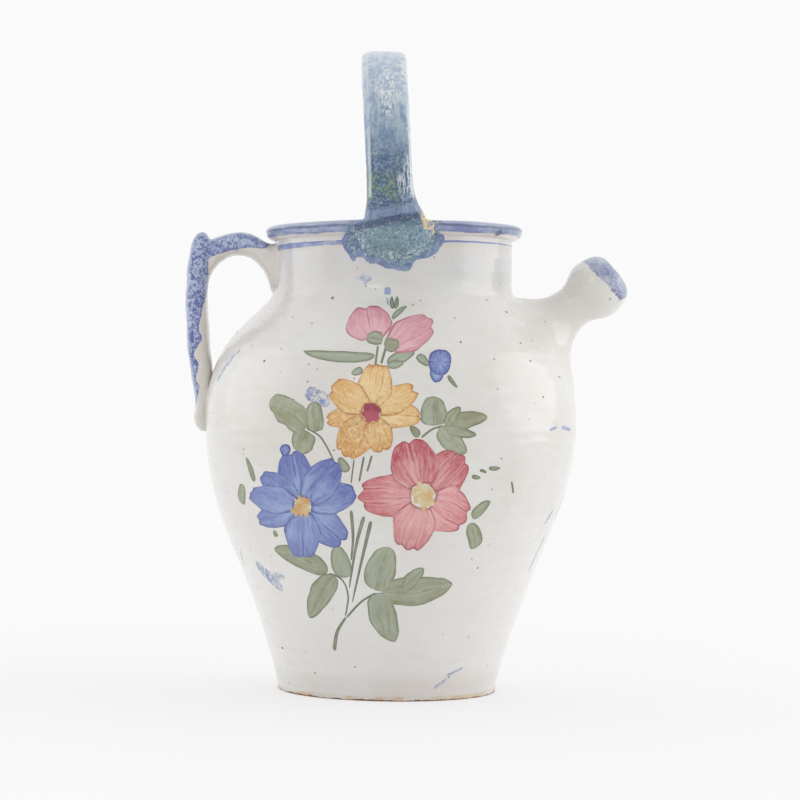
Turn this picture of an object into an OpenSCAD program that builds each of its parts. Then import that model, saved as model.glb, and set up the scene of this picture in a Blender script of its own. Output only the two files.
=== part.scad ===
// Glazed earthenware water jug with a basket handle, a side handle and a spout.
// The foot stands on Z = 0 and the axis of the wheel is Z. The spout points along +X, the side handle
// lies along -X, and the basket handle spans the mouth from -Y, the front, to +Y, the back.
// Every piece is a length of clay that the potter made by itself and luted on with slip.

/* [Foot and belly] */
// Radius of the foot where the belly stands on it
foot_r = 59.3; // [52:0.1:66]
// Height of the bare clay foot
foot_h = 2.4; // [2:0.1:5]
// Bevel round the lower edge of the foot
foot_bevel = 0.8; // [0.4:0.1:1.5]
// Radius of the belly at its widest
belly_r = 101.2; // [94:0.1:106]
// Height of the widest part of the belly
belly_z = 146.8; // [138:0.1:156]
// Height of the shoulder where the neck stands on it
shoulder_z = 209.4; // [204:0.1:214]
// Thickness of the thrown wall
wall = 6.0; // [4:0.1:8]
// Thickness of the floor above the foot
floor_t = 6.0; // [4:0.1:9]
// Radius of the curve between the floor and the wall inside
floor_round = 12.0; // [8:0.5:16]

/* [Neck and rim] */
// Outer radius of the neck
neck_r = 64.6; // [61:0.1:68]
// How far the shoulder stands out from the neck where they meet
shoulder_out = 4.4; // [3:0.1:6]
// Height of the neck, from the shoulder to the rim
neck_h = 34.1; // [31:0.1:38]
// Height of the curve from the shoulder into the neck
neck_root_h = 12.0; // [8:0.1:14]
// How far the everted rim reaches outside the neck
rim_out = 5.8; // [4.5:0.1:7]
// Height of the rim
rim_h = 7.7; // [7:0.1:10]
// Radius that rounds the outer edge of the rim
rim_round = 2.4; // [1.5:0.1:2.8]
// Radius that rounds the inner edge of the rim
mouth_round = 2.0; // [1:0.1:2.5]

// Lean of the mouth towards the side handle, in degrees
mouth_lean = 1; // [0:0.1:2]

/* [Spout] */
// Rise of the spout above the horizontal, in degrees
spout_rise = 39.5; // [36:0.5:42]
// How far the spout's waist lies inside the reach of the belly
waist_in = 3.5; // [1:0.1:6]
// Height of the spout's waist above the shoulder
waist_rise = 0.3; // [-2:0.1:3]
// Outer radius of the spout at its waist
waist_r = 11.7; // [11:0.1:13]
// Outer radius of the spout where it flares into the shoulder
spout_root_r = 30.0; // [27:0.1:31]
// Length of the flare below the waist, measured along the spout
spout_root_l = 23.6; // [22:0.1:25]
// Outer radius of the bulb at the spout's end
bulb_r = 16.9; // [15:0.1:19]
// Length of the bulb from the waist to its end
bulb_l = 30.4; // [27:0.1:35]
// Radius of the passage at the spout's waist
tube_bore_r = 8.2; // [7.5:0.1:9]
// Radius of the hole pierced in the wall behind the spout
pierce_r = 13.0; // [10:0.1:14]
// Radius of the pouring hole in the bulb
pour_bore_r = 6.5; // [5:0.1:7.2]

/* [Side handle] */
// How far the grip reaches outside the belly
grip_out = 12.0; // [10:0.1:17]
// Height of the thumb rest, at the top of the grip, above the shoulder
ear_rise = 37.8; // [36:0.1:41]
// How far the grip's lower end lies below the widest part of the belly
tail_drop = 8.1; // [3:0.1:14]
// Width of the grip at its middle
grip_w = 23.0; // [18:0.1:27]
// Height of the arch's crown above the shoulder
arch_rise = 38.3; // [37:0.1:40]
// Depth of the arch's root below its crown
arch_drop = 35.0; // [32:0.1:37]
// Width of the arch at its crown
arch_w = 20.0; // [16:0.1:24]

/* [Basket handle] */
// Height of the basket handle above the rim
bail_rise = 96.3; // [85:0.1:115]
// Thickness of the strap at its crown
strap_t = 11.0; // [9:0.1:13]
// Width of the strap at its crown
strap_w = 24.3; // [20:0.1:29]
// Width of the strap where it stands on the rim
strap_foot_w = 32.0; // [29:0.1:37]
// Thickness of the strap where it stands on the rim
strap_foot_t = 17.0; // [15:0.1:18]
// Sideways lean of the crown, towards the side handle
strap_lean = 5.5; // [0:0.1:10]
// Width of the pad that anchors the strap on the neck
pad_w = 44.0; // [38:0.1:48]
// Height of the pad below the top of the rim
pad_h = 22.7; // [20:0.1:26]
// Reach of the pad outside the neck
pad_t = 12.2; // [11:0.1:13.5]

/* [Hidden] */
$fn = 96;

// Film of slip between two luted pieces
slip = 0.06;
// How far a cut runs past what it cuts
overrun = 1;
// Points along each curve of the thrown profile
curve_steps = 16;
round_steps = 6;

// Glaze and clay colours
white_glaze = [0.87, 0.86, 0.84];
blue_glaze = [0.36, 0.45, 0.66];
teal_glaze = [0.38, 0.50, 0.60];
bare_clay = [0.66, 0.52, 0.42];

floor_z = foot_h + floor_t;
shoulder_r = neck_r + shoulder_out;
mouth_r = neck_r - wall;
neck_top_z = shoulder_z + neck_h;
rim_r = neck_r + rim_out;
rim_z = neck_top_z + rim_h;
waist_x = belly_r - waist_in;
waist_z = shoulder_z + waist_rise;
ear_z = shoulder_z + ear_rise;
tail_z = belly_z - tail_drop;
arch_z = shoulder_z + arch_rise;
bail_z = rim_z + bail_rise;

// A cubic curve through four control points, from the first to the last
function bezier(a, b, c, d, steps) =
    [for (i = [0:steps]) let (t = i / steps, s = 1 - t)
        s * s * s * a + 3 * s * s * t * b + 3 * s * t * t * c + t * t * t * d];

// Points on a round stretch of an outline, from one angle to another
function arc(centre, radius, from, to) =
    [for (i = [0:round_steps]) let (a = from + (to - from) * i / round_steps)
        centre + radius * [cos(a), sin(a)]];

// A cubic curve between two corners, its inner control points given as shares of the way
function shaped(start, end, shares, steps) =
    let (span = end - start)
    bezier(start, start + [span.x * shares[0].x, span.y * shares[0].y],
           start + [span.x * shares[1].x, span.y * shares[1].y], end, steps);

// Drops the first point of a list, where it repeats the last point of the list before it
function tail(list) = [for (i = [1:len(list) - 1]) list[i]];

// How the belly swells from the foot, and how the shoulder draws in to the neck
belly_shares = [[0.392, 0.46], [1, 0.69]];
shoulder_shares = [[0, 0.60], [0.596, 0.77]];
neck_root_shares = [[0.50, 0.22], [1, 0.5]];
rim_flare_shares = [[0.55, 0.12], [1, 0.55]];

// Outer and inner outline of the thrown wall, from the foot up to the shoulder
function wall_outline(low, high_r) =
    let (widest = [low.z, belly_z])
    concat(shaped([low.x, low.y], widest, belly_shares, curve_steps),
           tail(shaped(widest, [high_r, shoulder_z], shoulder_shares, curve_steps)));

body_outer = wall_outline([foot_r, foot_h, belly_r], shoulder_r);
// The floor's curve runs from level up to where the wall takes over, in degrees
floor_curve_end = -30;
body_inner = concat(arc([foot_r - wall - floor_round, floor_z + floor_round], floor_round, -90, floor_curve_end),
                    tail(wall_outline([foot_r - wall, floor_z + floor_round, belly_r - wall], mouth_r)));
neck_outer = concat(shaped([shoulder_r, shoulder_z], [neck_r, shoulder_z + neck_root_h], neck_root_shares,
                           round_steps),
                    [[neck_r, neck_top_z]]);
rim_flare = shaped([neck_r, neck_top_z], [rim_r, rim_z - rim_round], rim_flare_shares, round_steps);
rim_outer = concat(rim_flare, tail(arc([rim_r - rim_round, rim_z - rim_round], rim_round, 0, 90)));

// The thrown outline from foot to rim as pairs of height and radius, and its radius at a height
outline_radii = [for (p = concat(body_outer, tail(neck_outer), tail(rim_outer))) [p.y, p.x]];
function thrown_r(z) = lookup(z, outline_radii);

// The mouth leans: the rim and what stands on it turn about the middle of the neck's top, and a point on
// the upright neck only moves along it
function with_mouth(p) =
    let (h = p.z - neck_top_z)
    h < 0 ? [p.x, p.y, p.z + p.x * tan(mouth_lean)]
          : [p.x * cos(mouth_lean) - h * sin(mouth_lean), p.y,
             neck_top_z + p.x * sin(mouth_lean) + h * cos(mouth_lean)];
module at_mouth() {
    translate([0, 0, neck_top_z])
        rotate([0, -mouth_lean, 0])
            translate([0, 0, -neck_top_z])
                children();
}

// Presses a point that lies inside the thrown wall out on to its surface
function seat(p) =
    let (r = norm([p.x, p.y]),
         on_neck = p.z > shoulder_z + neck_root_h,
         skin = thrown_r(on_neck ? p.z - p.x * tan(mouth_lean) : p.z) + slip)
    p.z > rim_z || r >= skin ? p : [p.x * skin / r, p.y * skin / r, p.z];

// A sine or cosine squared off towards a rounded rectangle
strap_square = 0.75;
function squared(v) = sign(v) * pow(abs(v), strap_square);

// One cross-section of a strap: centre, direction and half size of its thickness, then of its width
ring_sides = 24;
function ring(centre, thick_dir, half_t, wide_dir, half_w) =
    [for (i = [0:ring_sides - 1]) let (a = 360 * i / ring_sides)
        centre + thick_dir * half_t * squared(cos(a)) + wide_dir * half_w * squared(sin(a))];

// A section drawn in towards its own middle
cap_shares = [0.75, 0.5, 0.25];
function mean(points) = [for (p = points) 1] * points / len(points);
function drawn_in(points, share) = [for (p = points) mean(points) + share * (p - mean(points))];

// Skins a strap over its sections, closes both ends, and seats every point on the thrown wall and, where a
// strap ends on the side grip, on the grip's inner face
function seated(points, on_grip) =
    [for (p = points) let (q = seat(p)) on_grip ? [max(q.x, grip_face_x(q.y, q.z) + slip), q.y, q.z] : q];
module strap_skin(sections, on_grip = false) {
    loops = [for (s = sections) seated(s, on_grip)];
    first = loops[0];
    last = loops[len(loops) - 1];
    rings = concat([for (i = [len(cap_shares) - 1:-1:0]) seated(drawn_in(first, cap_shares[i]), on_grip)], loops,
                   [for (s = cap_shares) seated(drawn_in(last, s), on_grip)]);
    n = len(first);
    points = concat([for (r = rings) each r], seated([mean(first), mean(last)], on_grip));
    start_point = len(points) - 2;
    end_point = start_point + 1;
    base = (len(rings) - 1) * n;
    sides = [for (k = [0:len(rings) - 2]) each [for (i = [0:n - 1])
        let (j = (i + 1) % n, a = k * n + i, b = k * n + j, c = a + n, d = b + n)
        each [[a, b, c], [b, d, c]]]];
    start_fan = [for (i = [0:n - 1]) [start_point, (i + 1) % n, i]];
    end_fan = [for (i = [0:n - 1]) [end_point, base + i, base + (i + 1) % n]];
    polyhedron(points = points, faces = concat(sides, start_fan, end_fan));
}

// A smooth curve through a table's rows: first column the place, the others the values
function row_at(table, i) = table[max(0, min(len(table) - 1, i))];
function smooth_lookup(place, table) =
    let (last = len(table) - 2,
         found = [for (i = [0:last]) if (place >= table[i][0]) i],
         k = len(found) > 0 ? max(found) : 0,
         p0 = row_at(table, k - 1), p1 = row_at(table, k), p2 = row_at(table, k + 1), p3 = row_at(table, k + 2),
         t = max(0, min(1, (place - p1[0]) / (p2[0] - p1[0]))))
    0.5 * (2 * p1 + (p2 - p0) * t + (2 * p0 - 5 * p1 + 4 * p2 - p3) * t * t
           + (3 * p1 - p0 - 3 * p2 + p3) * t * t * t);

// The bare clay disc that the jug stands on
module foot() {
    color(bare_clay)
        rotate_extrude()
            polygon([[0, 0], [foot_r - foot_bevel, 0], [foot_r, foot_bevel], [foot_r, foot_h], [0, foot_h]]);
}

// Where the spout's own axis stands: Z along the spout, its zero at the waist
module on_spout_axis() {
    translate([waist_x, 0, waist_z])
        rotate([0, 90 - spout_rise, 0])
            children();
}

// The thrown belly with its floor and shoulder, pierced behind the spout
module body() {
    color(white_glaze)
        difference() {
            rotate_extrude()
                polygon(concat([[0, foot_h]], body_outer, [for (i = [len(body_inner) - 1:-1:0]) body_inner[i]],
                               [[0, floor_z]]));
            on_spout_axis()
                translate([0, 0, -3 * spout_root_l])
                    cylinder(r = pierce_r, h = 3 * spout_root_l);
        }
}

// The thrown collar between the shoulder and the rim, trimmed where the mouth leans
module neck_collar() {
    trim_h = shoulder_r * tan(mouth_lean) + overrun;
    color(white_glaze)
        difference() {
            rotate_extrude()
                polygon(concat([for (p = neck_outer) p.y < neck_top_z ? p : [p.x, p.y + trim_h]],
                               [[mouth_r, neck_top_z + trim_h], [mouth_r, shoulder_z]]));
            at_mouth()
                translate([0, 0, neck_top_z])
                    cylinder(r = shoulder_r + trim_h, h = 3 * trim_h);
        }
}

// The everted rim
module rim() {
    color(blue_glaze)
        at_mouth()
            rotate_extrude()
                polygon(concat(rim_outer,
                               arc([mouth_r + mouth_round, rim_z - mouth_round], mouth_round, 90, 180),
                               [[mouth_r, neck_top_z]]));
}

// Everything inside the outer skin of the thrown wall, with the film of slip on it
module thrown_core() {
    rotate_extrude()
        polygon(concat([[0, 0]], [for (p = outline_radii) if (p[0] <= neck_top_z) [p[1] + slip, p[0]]],
                       [[0, neck_top_z]]));
}

// The hollow trumpet of the spout, from the shoulder up to its waist. Its passage flares with it to the hole
// in the wall.
tube_shares = [[0.72, 0.28], [1, 0.62]];
module spout_tube() {
    skin = shaped([spout_root_r, -spout_root_l], [waist_r, 0], tube_shares, curve_steps);
    passage = shaped([pierce_r, -spout_root_l], [tube_bore_r, 0], tube_shares, curve_steps);
    color(white_glaze)
        difference() {
            on_spout_axis()
                rotate_extrude()
                    polygon(concat([[pierce_r, -2 * spout_root_l], [spout_root_r, -2 * spout_root_l]], skin,
                                   [for (i = [len(passage) - 1:-1:0]) passage[i]]));
            thrown_core();
        }
}

// The bulb at the end of the spout, with the pouring hole
bulb_widest_share = 0.556;
swell_shares = [[0.05, 0.42], [1, 0.55]];
dome_shares = [[0, 0.5], [0.45, 1]];
module spout_bulb() {
    widest = [bulb_r, bulb_l * bulb_widest_share];
    lip = pour_bore_r / 4;
    color(blue_glaze)
        on_spout_axis()
            rotate_extrude()
                polygon(concat(shaped([waist_r, 0], widest, swell_shares, curve_steps),
                               tail(shaped(widest, [pour_bore_r + lip, bulb_l], dome_shares, curve_steps)),
                               [[pour_bore_r, bulb_l - lip], [pour_bore_r, 0]]));
}

// The arch from the neck to the grip. Each row has the share of the way from the neck to the grip, then
// the lower and the upper edge as shares of the root's depth below the crown, and the width as a share.
arch_shares = [
    [-0.05, 1.03, 0.14, 1.42],
    [0.020, 0.97, 0.165, 1.31],
    [0.060, 0.90, 0.167, 1.25],
    [0.105, 0.75, 0.155, 1.18],
    [0.170, 0.605, 0.13, 1.10],
    [0.260, 0.495, 0.075, 1.04],
    [0.380, 0.405, 0.022, 1.00],
    [0.530, 0.375, 0.00, 1.00],
    [0.680, 0.395, 0.018, 0.98],
    [0.830, 0.49, 0.07, 0.94],
    [0.935, 0.635, 0.115, 0.88],
    [1.000, 0.80, 0.135, 0.80]];
arch_rings = 21;
module handle_arch() {
    color(blue_glaze)
        strap_skin([for (k = [0:arch_rings])
            let (share = arch_shares[0][0] + (1 - arch_shares[0][0]) * k / arch_rings,
                 row = smooth_lookup(share, arch_shares),
                 low = arch_z - arch_drop * row[1],
                 high = arch_z - arch_drop * row[2],
                 x = neck_r + (belly_r - neck_r) * share)
            ring([-x, 0, (low + high) / 2], [0, 0, 1], (high - low) / 2, [0, 1, 0], arch_w * row[3] / 2)],
            on_grip = true);
}

// The upright grip, from its tail on the belly up to the thumb rest. Each row has the share of its height,
// the outer and the inner face as shares of the way from the belly's radius to the reach, and the width.
grip_shares = [
    [0.000, 0.19, -0.06, 0.34],
    [0.015, 0.325, -0.10, 0.48],
    [0.045, 0.50, -0.12, 0.60],
    [0.080, 0.537, -0.12, 0.64],
    [0.115, 0.47, -0.12, 0.62],
    [0.155, 0.48, -0.16, 0.62],
    [0.205, 0.57, -0.24, 0.68],
    [0.255, 0.667, -0.30, 0.78],
    [0.331, 0.77, -0.26, 0.88],
    [0.405, 0.87, -0.17, 0.95],
    [0.508, 0.945, -0.09, 1.00],
    [0.608, 0.997, -0.03, 1.00],
    [0.684, 0.995, 0.00, 1.00],
    [0.757, 0.967, -0.04, 0.97],
    [0.832, 0.935, -0.07, 0.94],
    [0.893, 0.854, -0.11, 0.90],
    [0.944, 0.772, -0.13, 0.82],
    [0.984, 0.60, 0.03, 0.62],
    [1.000, 0.38, 0.16, 0.32]];
grip_rings = 44;

// The grip's outer and inner face, and its half width, at a height
function grip_at(z) =
    let (row = smooth_lookup((z - tail_z) / (ear_z - tail_z), grip_shares))
    [belly_r + grip_out * row[1], belly_r + grip_out * row[2], grip_w * row[3] / 2];

// Where the grip's inner face lies at a place across it and a height
function grip_face_x(y, z) =
    let (g = grip_at(z), side = pow(min(1, abs(y) / g[2]), 1 / strap_square))
    -(g[0] + g[1]) / 2 + (g[0] - g[1]) / 2 * squared(sqrt(1 - side * side));

module handle_grip() {
    color(blue_glaze)
        strap_skin([for (k = [0:grip_rings])
            let (z = tail_z + (ear_z - tail_z) * k / grip_rings, g = grip_at(z))
            ring([-(g[0] + g[1]) / 2, 0, z], [-1, 0, 0], (g[0] - g[1]) / 2, [0, -1, 0], g[2])]);
}

// The basket handle's centreline in its own plane: the foot stands on the rim, the crown is over the axis
strap_foot_r = mouth_r + wall / 8 + strap_foot_t / 2;
crown_line_z = bail_z - strap_t / 2;
leg_shares = [[-0.04, 0.66], [0.40, 1]];
strap_steps = 20;
strap_half = shaped([strap_foot_r, rim_z + slip], [0, crown_line_z], leg_shares, strap_steps);
strap_line = concat([for (p = strap_half) [-p.x, p.y]],
                    tail([for (i = [len(strap_half) - 1:-1:0]) strap_half[i]]));
// Each row has the share of the strap's rise, then its thickness and width between crown (0) and foot (1),
// then its sideways lean
strap_shares = [
    [0.00, 1.00, 1.00, -0.08],
    [0.04, 0.90, 0.74, 0.00],
    [0.10, 0.62, 0.25, 0.20],
    [0.18, 0.38, 0.00, 0.36],
    [0.35, 0.22, -0.02, 0.50],
    [0.60, 0.12, -0.02, 0.70],
    [1.00, 0.00, 0.00, 1.00]];
module bail_strap() {
    last = len(strap_line) - 1;
    color(teal_glaze)
        at_mouth()
            strap_skin([for (k = [0:last])
                let (p = strap_line[k],
                     ahead = strap_line[min(k + 1, last)],
                     behind = strap_line[max(k - 1, 0)],
                     along = k == 0 ? [0, 1] : k == last ? [0, -1] : (ahead - behind) / norm(ahead - behind),
                     row = smooth_lookup(max(0, (p.y - rim_z) / (crown_line_z - rim_z)), strap_shares),
                     t = strap_t + (strap_foot_t - strap_t) * row[1],
                     w = strap_w + (strap_foot_w - strap_w) * row[2])
                ring([-strap_lean * row[3], p.x, p.y], [0, -along.y, along.x], t / 2, [-1, 0, 0], w / 2)]);
}

// A pad of clay pressed round the rim and on to the neck under the strap's foot. It is thickest at the top
// and its outline is a tongue. The rows give the share of its height, its width and its reach as shares.
pad_shares = [
    [0.00, 0.22, 0.00],
    [0.08, 0.42, 0.10],
    [0.22, 0.62, 0.32],
    [0.45, 0.84, 0.66],
    [0.70, 0.98, 0.90],
    [0.88, 1.00, 1.00],
    [1.00, 0.92, 0.98]];
pad_columns = 22;
pad_rows = 22;
pad_edge_t = 0.35;
// How full the pad is across its width: lower is fuller
pad_dome = 0.6;
module anchor_pad(turn) {
    function place(column, row) =
        let (u = 2 * column / pad_columns - 1,
             v = row / pad_rows,
             sizes = smooth_lookup(v, pad_shares))
        [asin(min(1, pad_w / 2 * sizes[1] / (neck_r + pad_t))) * u, rim_z - pad_h * (1 - v),
         sizes[2] * pow(max(0, 1 - u * u), pad_dome)];
    function inner_point(column, row) =
        let (p = place(column, row), r = thrown_r(p.y) + slip)
        [r * sin(p.x), -r * cos(p.x), p.y];
    function outer_point(column, row) =
        let (p = place(column, row),
             skin = thrown_r(p.y) + slip + pad_edge_t,
             r = max(skin, neck_r + pad_t * p.z))
        [r * sin(p.x), -r * cos(p.x), p.y];
    stride = pad_columns + 1;
    count = stride * (pad_rows + 1);
    turned = cos(turn);
    function set_down(p) = with_mouth([turned * p.x, turned * p.y, p.z]);
    outer = [for (row = [0:pad_rows]) each [for (column = [0:pad_columns]) set_down(outer_point(column, row))]];
    inner = [for (row = [0:pad_rows]) each [for (column = [0:pad_columns]) set_down(inner_point(column, row))]];
    function quad(a, b, c, d) = [[a, b, c], [a, c, d]];
    skins = [for (row = [0:pad_rows - 1]) each [for (column = [0:pad_columns - 1])
        let (a = row * stride + column, b = a + 1, c = b + stride, d = a + stride)
        each concat(quad(a, d, c, b), quad(count + a, count + b, count + c, count + d))]];
    edge_rows = [for (column = [0:pad_columns - 1])
        let (a = column, b = column + 1, c = pad_rows * stride + column, d = c + 1)
        each concat(quad(a, b, count + b, count + a), quad(d, c, count + c, count + d))];
    edge_columns = [for (row = [0:pad_rows - 1])
        let (a = row * stride, b = a + stride, c = a + pad_columns, d = c + stride)
        each concat(quad(b, a, count + a, count + b), quad(c, d, count + d, count + c))];
    color(teal_glaze)
        polyhedron(points = concat(outer, inner), faces = concat(skins, edge_rows, edge_columns));
}

module bail_front_pad() {
    anchor_pad(0);
}

module bail_rear_pad() {
    anchor_pad(180);
}

foot();
body();
neck_collar();
rim();
spout_tube();
spout_bulb();
handle_arch();
handle_grip();
bail_strap();
bail_front_pad();
bail_rear_pad();
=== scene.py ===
import math
from bisect import bisect_right

import bpy
from bpy.props import FloatProperty, FloatVectorProperty, IntProperty, PointerProperty
from bpy.types import Operator, Panel, PropertyGroup
from mathutils import Matrix, Vector, noise


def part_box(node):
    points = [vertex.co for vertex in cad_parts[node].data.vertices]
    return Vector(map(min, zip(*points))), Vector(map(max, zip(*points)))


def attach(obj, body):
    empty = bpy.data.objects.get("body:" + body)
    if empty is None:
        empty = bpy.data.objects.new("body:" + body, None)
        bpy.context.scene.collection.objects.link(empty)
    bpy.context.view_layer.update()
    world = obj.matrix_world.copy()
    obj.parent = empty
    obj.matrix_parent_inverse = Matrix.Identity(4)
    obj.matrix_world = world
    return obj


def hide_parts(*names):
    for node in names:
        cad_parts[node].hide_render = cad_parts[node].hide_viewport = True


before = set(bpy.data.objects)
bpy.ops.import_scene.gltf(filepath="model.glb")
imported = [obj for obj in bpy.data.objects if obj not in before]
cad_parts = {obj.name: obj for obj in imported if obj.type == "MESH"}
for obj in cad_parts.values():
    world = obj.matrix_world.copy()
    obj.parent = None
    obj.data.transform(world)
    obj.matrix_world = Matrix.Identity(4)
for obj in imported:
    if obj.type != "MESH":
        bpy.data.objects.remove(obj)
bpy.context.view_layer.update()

bl_info = {
    "name": "Painted Water Jug",
    "version": (1, 0, 0),
    "blender": (4, 5, 0),
    "location": "View3D > Sidebar > Jug",
    "description": "Glazes and paints a thrown water jug with a basket handle, a side handle and a spout",
    "category": "Add Mesh",
}

MM = 0.001
WELD = 0.002 * MM

# Sizes of the thrown form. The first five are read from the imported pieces.
FOOT_R, FOOT_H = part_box("foot")[1].x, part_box("foot")[1].z
BELLY_R, SHOULDER_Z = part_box("body")[1].x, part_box("body")[1].z
SHOULDER_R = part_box("neck_collar")[1].x
BELLY_Z = 146.8 * MM
WALL = 6 * MM
FLOOR_Z, FLOOR_ROUND = 8.4 * MM, 12 * MM
NECK_R, NECK_ROOT_H, NECK_TOP_Z = 64.6 * MM, 12 * MM, 243.5 * MM
RIM_R, RIM_Z, RIM_ROUND = 70.4 * MM, 251.2 * MM, 2.4 * MM
MOUTH_R, MOUTH_ROUND, MOUTH_LEAN = NECK_R - WALL, 2 * MM, math.radians(1)
BELLY_SHARES = ((0.392, 0.46), (1, 0.69))
SHOULDER_SHARES = ((0, 0.60), (0.596, 0.77))
NECK_ROOT_SHARES = ((0.50, 0.22), (1, 0.5))
RIM_FLARE_SHARES = ((0.55, 0.12), (1, 0.55))

# Where the spout's own axis starts, at its waist, and the way it points
WAIST = Vector((97.7, 0, 209.7)) * MM
SPOUT_RISE = math.radians(39.5)
SPOUT_ALONG = Vector((math.cos(SPOUT_RISE), 0, math.sin(SPOUT_RISE)))
SPOUT_UP = Vector((-math.sin(SPOUT_RISE), 0, math.cos(SPOUT_RISE)))

# The photograph's viewpoint, and the size that one of its pixels has in the plane of the wheel's axis
VIEWPOINT = Vector((4.6325, -1387.025, 157.505)) * MM
PIXEL = 0.545 * MM
PICTURE_MIDDLE = 400
VIEW_ROLL = math.radians(1)
LENS = 114.525


def srgb(*levels):
    """A colour from 0 to 255 as the share of light that a shader works in."""
    return tuple(((v / 255 + 0.055) / 1.055) ** 2.4 for v in levels)


def colour(name, description, *levels):
    return FloatVectorProperty(name=name, description=description, subtype="COLOR", size=3, min=0, max=1,
                               default=srgb(*levels))


def size(name, description, millimetres):
    return FloatProperty(name=name, description=description, unit="LENGTH", min=0, precision=5,
                         default=millimetres * MM)


class JugForming(PropertyGroup):
    """How the potter's hands show in the clay."""

    turns: IntProperty(name="Turns", description="Steps round the wheel", default=224, min=24, max=360)
    glaze_inset: size("Glaze inset", "How far the glaze lies inside the drawn outline", 0.35)
    ring_pitch: size("Ring pitch", "Height from one throwing ring to the next", 7.0)
    ring_depth: size("Ring depth", "Depth of the throwing rings", 0.12)
    lump_size: size("Lump size", "Width of the slow lumps in the wall", 45.0)
    lump_depth: size("Lump depth", "Height of the slow lumps in the wall", 0.28)
    slack: size("Slack side", "How far the wall sags outwards under the side handle", 1.6)
    fillet: size("Fillet", "Width of the smoothed clay where a piece is luted on", 3.0)
    paint_lift: size("Paint lift", "Thickness of the painted enamel", 0.06)


class JugGlazes(PropertyGroup):
    """The colours of the glazes, the enamels and the clay."""

    white: colour("White glaze", "Tin glaze where it is thick", 226, 225, 221)
    cream: colour("Cream glaze", "Tin glaze where the clay shows through", 214, 207, 196)
    rosy: colour("Rosy glaze", "Tin glaze with a warm bloom", 222, 213, 210)
    pit: colour("Pits", "Pinholes and specks in the glaze", 112, 100, 92)
    pooled: colour("Pooled glaze", "Glaze that gathered under the neck line", 205, 194, 174)
    clay: colour("Bare clay", "Unglazed earthenware", 176, 128, 88)
    scorched: colour("Scorched clay", "Earthenware browned in the kiln", 118, 82, 58)
    cobalt: colour("Cobalt", "Dark blue brushwork", 76, 90, 160)
    sky: colour("Light cobalt", "Thin blue brushwork", 146, 164, 208)
    mist: colour("Pale cobalt", "Blue glaze where it breaks into crumbs", 208, 218, 230)
    teal: colour("Teal", "Green-blue glaze at the side handle's tail", 84, 116, 126)
    moss: colour("Moss", "Yellow-green specks", 124, 156, 84)
    leaf: colour("Leaf green", "Thin green enamel", 168, 174, 146)
    leaf_brown: colour("Leaf brown", "Olive in the thick of the green enamel", 138, 130, 86)
    leaf_blue: colour("Leaf blue", "Cool green enamel", 170, 184, 168)
    backdrop: colour("Backdrop", "Pale floor and surroundings", 250, 250, 251)


def curve(start, end, shares, steps=40):
    """Points of a cubic curve whose two handles are given as shares of the way from start to end."""
    span = (end[0] - start[0], end[1] - start[1])
    handles = [(start[0] + span[0] * across, start[1] + span[1] * up) for across, up in shares]
    points = []
    for i in range(steps + 1):
        t = i / steps
        weights = ((1 - t) ** 3, 3 * (1 - t) ** 2 * t, 3 * (1 - t) * t * t, t ** 3)
        points.append(tuple(sum(w * p[k] for w, p in zip(weights, (start, *handles, end))) for k in (0, 1)))
    return points


def arc(centre, radius, start, end, steps=10):
    """Points of a round stretch of an outline, from one angle in degrees to another."""
    angles = [math.radians(start + (end - start) * i / steps) for i in range(steps + 1)]
    return [(centre[0] + radius * math.cos(a), centre[1] + radius * math.sin(a)) for a in angles]


def spaced(points, gap):
    """The same outline with its points evenly apart."""
    lengths = [0.0]
    for a, b in zip(points, points[1:]):
        lengths.append(lengths[-1] + math.dist(a, b))
    count = max(1, round(lengths[-1] / gap))
    even = []
    for i in range(count + 1):
        target = lengths[-1] * i / count
        k = min(bisect_right(lengths, target), len(points) - 1)
        span = lengths[k] - lengths[k - 1]
        share = (target - lengths[k - 1]) / span if span else 0
        even.append(tuple(points[k - 1][n] + (points[k][n] - points[k - 1][n]) * share for n in (0, 1)))
    return even


def smooth_row(table, place):
    """A smooth curve through a table's rows: the place comes first and the values after it."""
    last = len(table) - 1
    k = max([i for i in range(last) if place >= table[i][0]], default=0)
    rows = [table[max(0, min(last, k + n))] for n in (-1, 0, 1, 2)]
    t = max(0.0, min(1.0, (place - rows[1][0]) / (rows[2][0] - rows[1][0])))
    return [0.5 * (2 * b + (c - a) * t + (2 * a - 5 * b + 4 * c - d) * t * t
                   + (3 * b - a - 3 * c + d) * t ** 3) for a, b, c, d in zip(*(row[1:] for row in rows))]


def halved(near, far, holds):
    """The last place on the way from near to far at which a test still holds, by halving the gap."""
    for _ in range(26):
        middle = (near + far) / 2
        near, far = (middle, far) if holds(middle) else (near, middle)
    return near


def wall_outline(foot_r, low_z, widest_r, high_r):
    """The belly and shoulder as thrown, from low_z up to the shoulder."""
    belly = curve((foot_r, low_z), (widest_r, BELLY_Z), BELLY_SHARES)
    return belly + curve((widest_r, BELLY_Z), (high_r, SHOULDER_Z), SHOULDER_SHARES)[1:]


BODY_OUTLINE = wall_outline(FOOT_R, FOOT_H, BELLY_R, SHOULDER_R)
NECK_OUTLINE = curve((SHOULDER_R, SHOULDER_Z), (NECK_R, SHOULDER_Z + NECK_ROOT_H), NECK_ROOT_SHARES, 16)
RIM_OUTLINE = (curve((NECK_R, NECK_TOP_Z), (RIM_R, RIM_Z - RIM_ROUND), RIM_FLARE_SHARES, 16)
               + arc((RIM_R - RIM_ROUND, RIM_Z - RIM_ROUND), RIM_ROUND, 0, 90)[1:])
THROWN = BODY_OUTLINE + NECK_OUTLINE[1:] + RIM_OUTLINE
THROWN_HEIGHTS = [z for r, z in THROWN]


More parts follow.
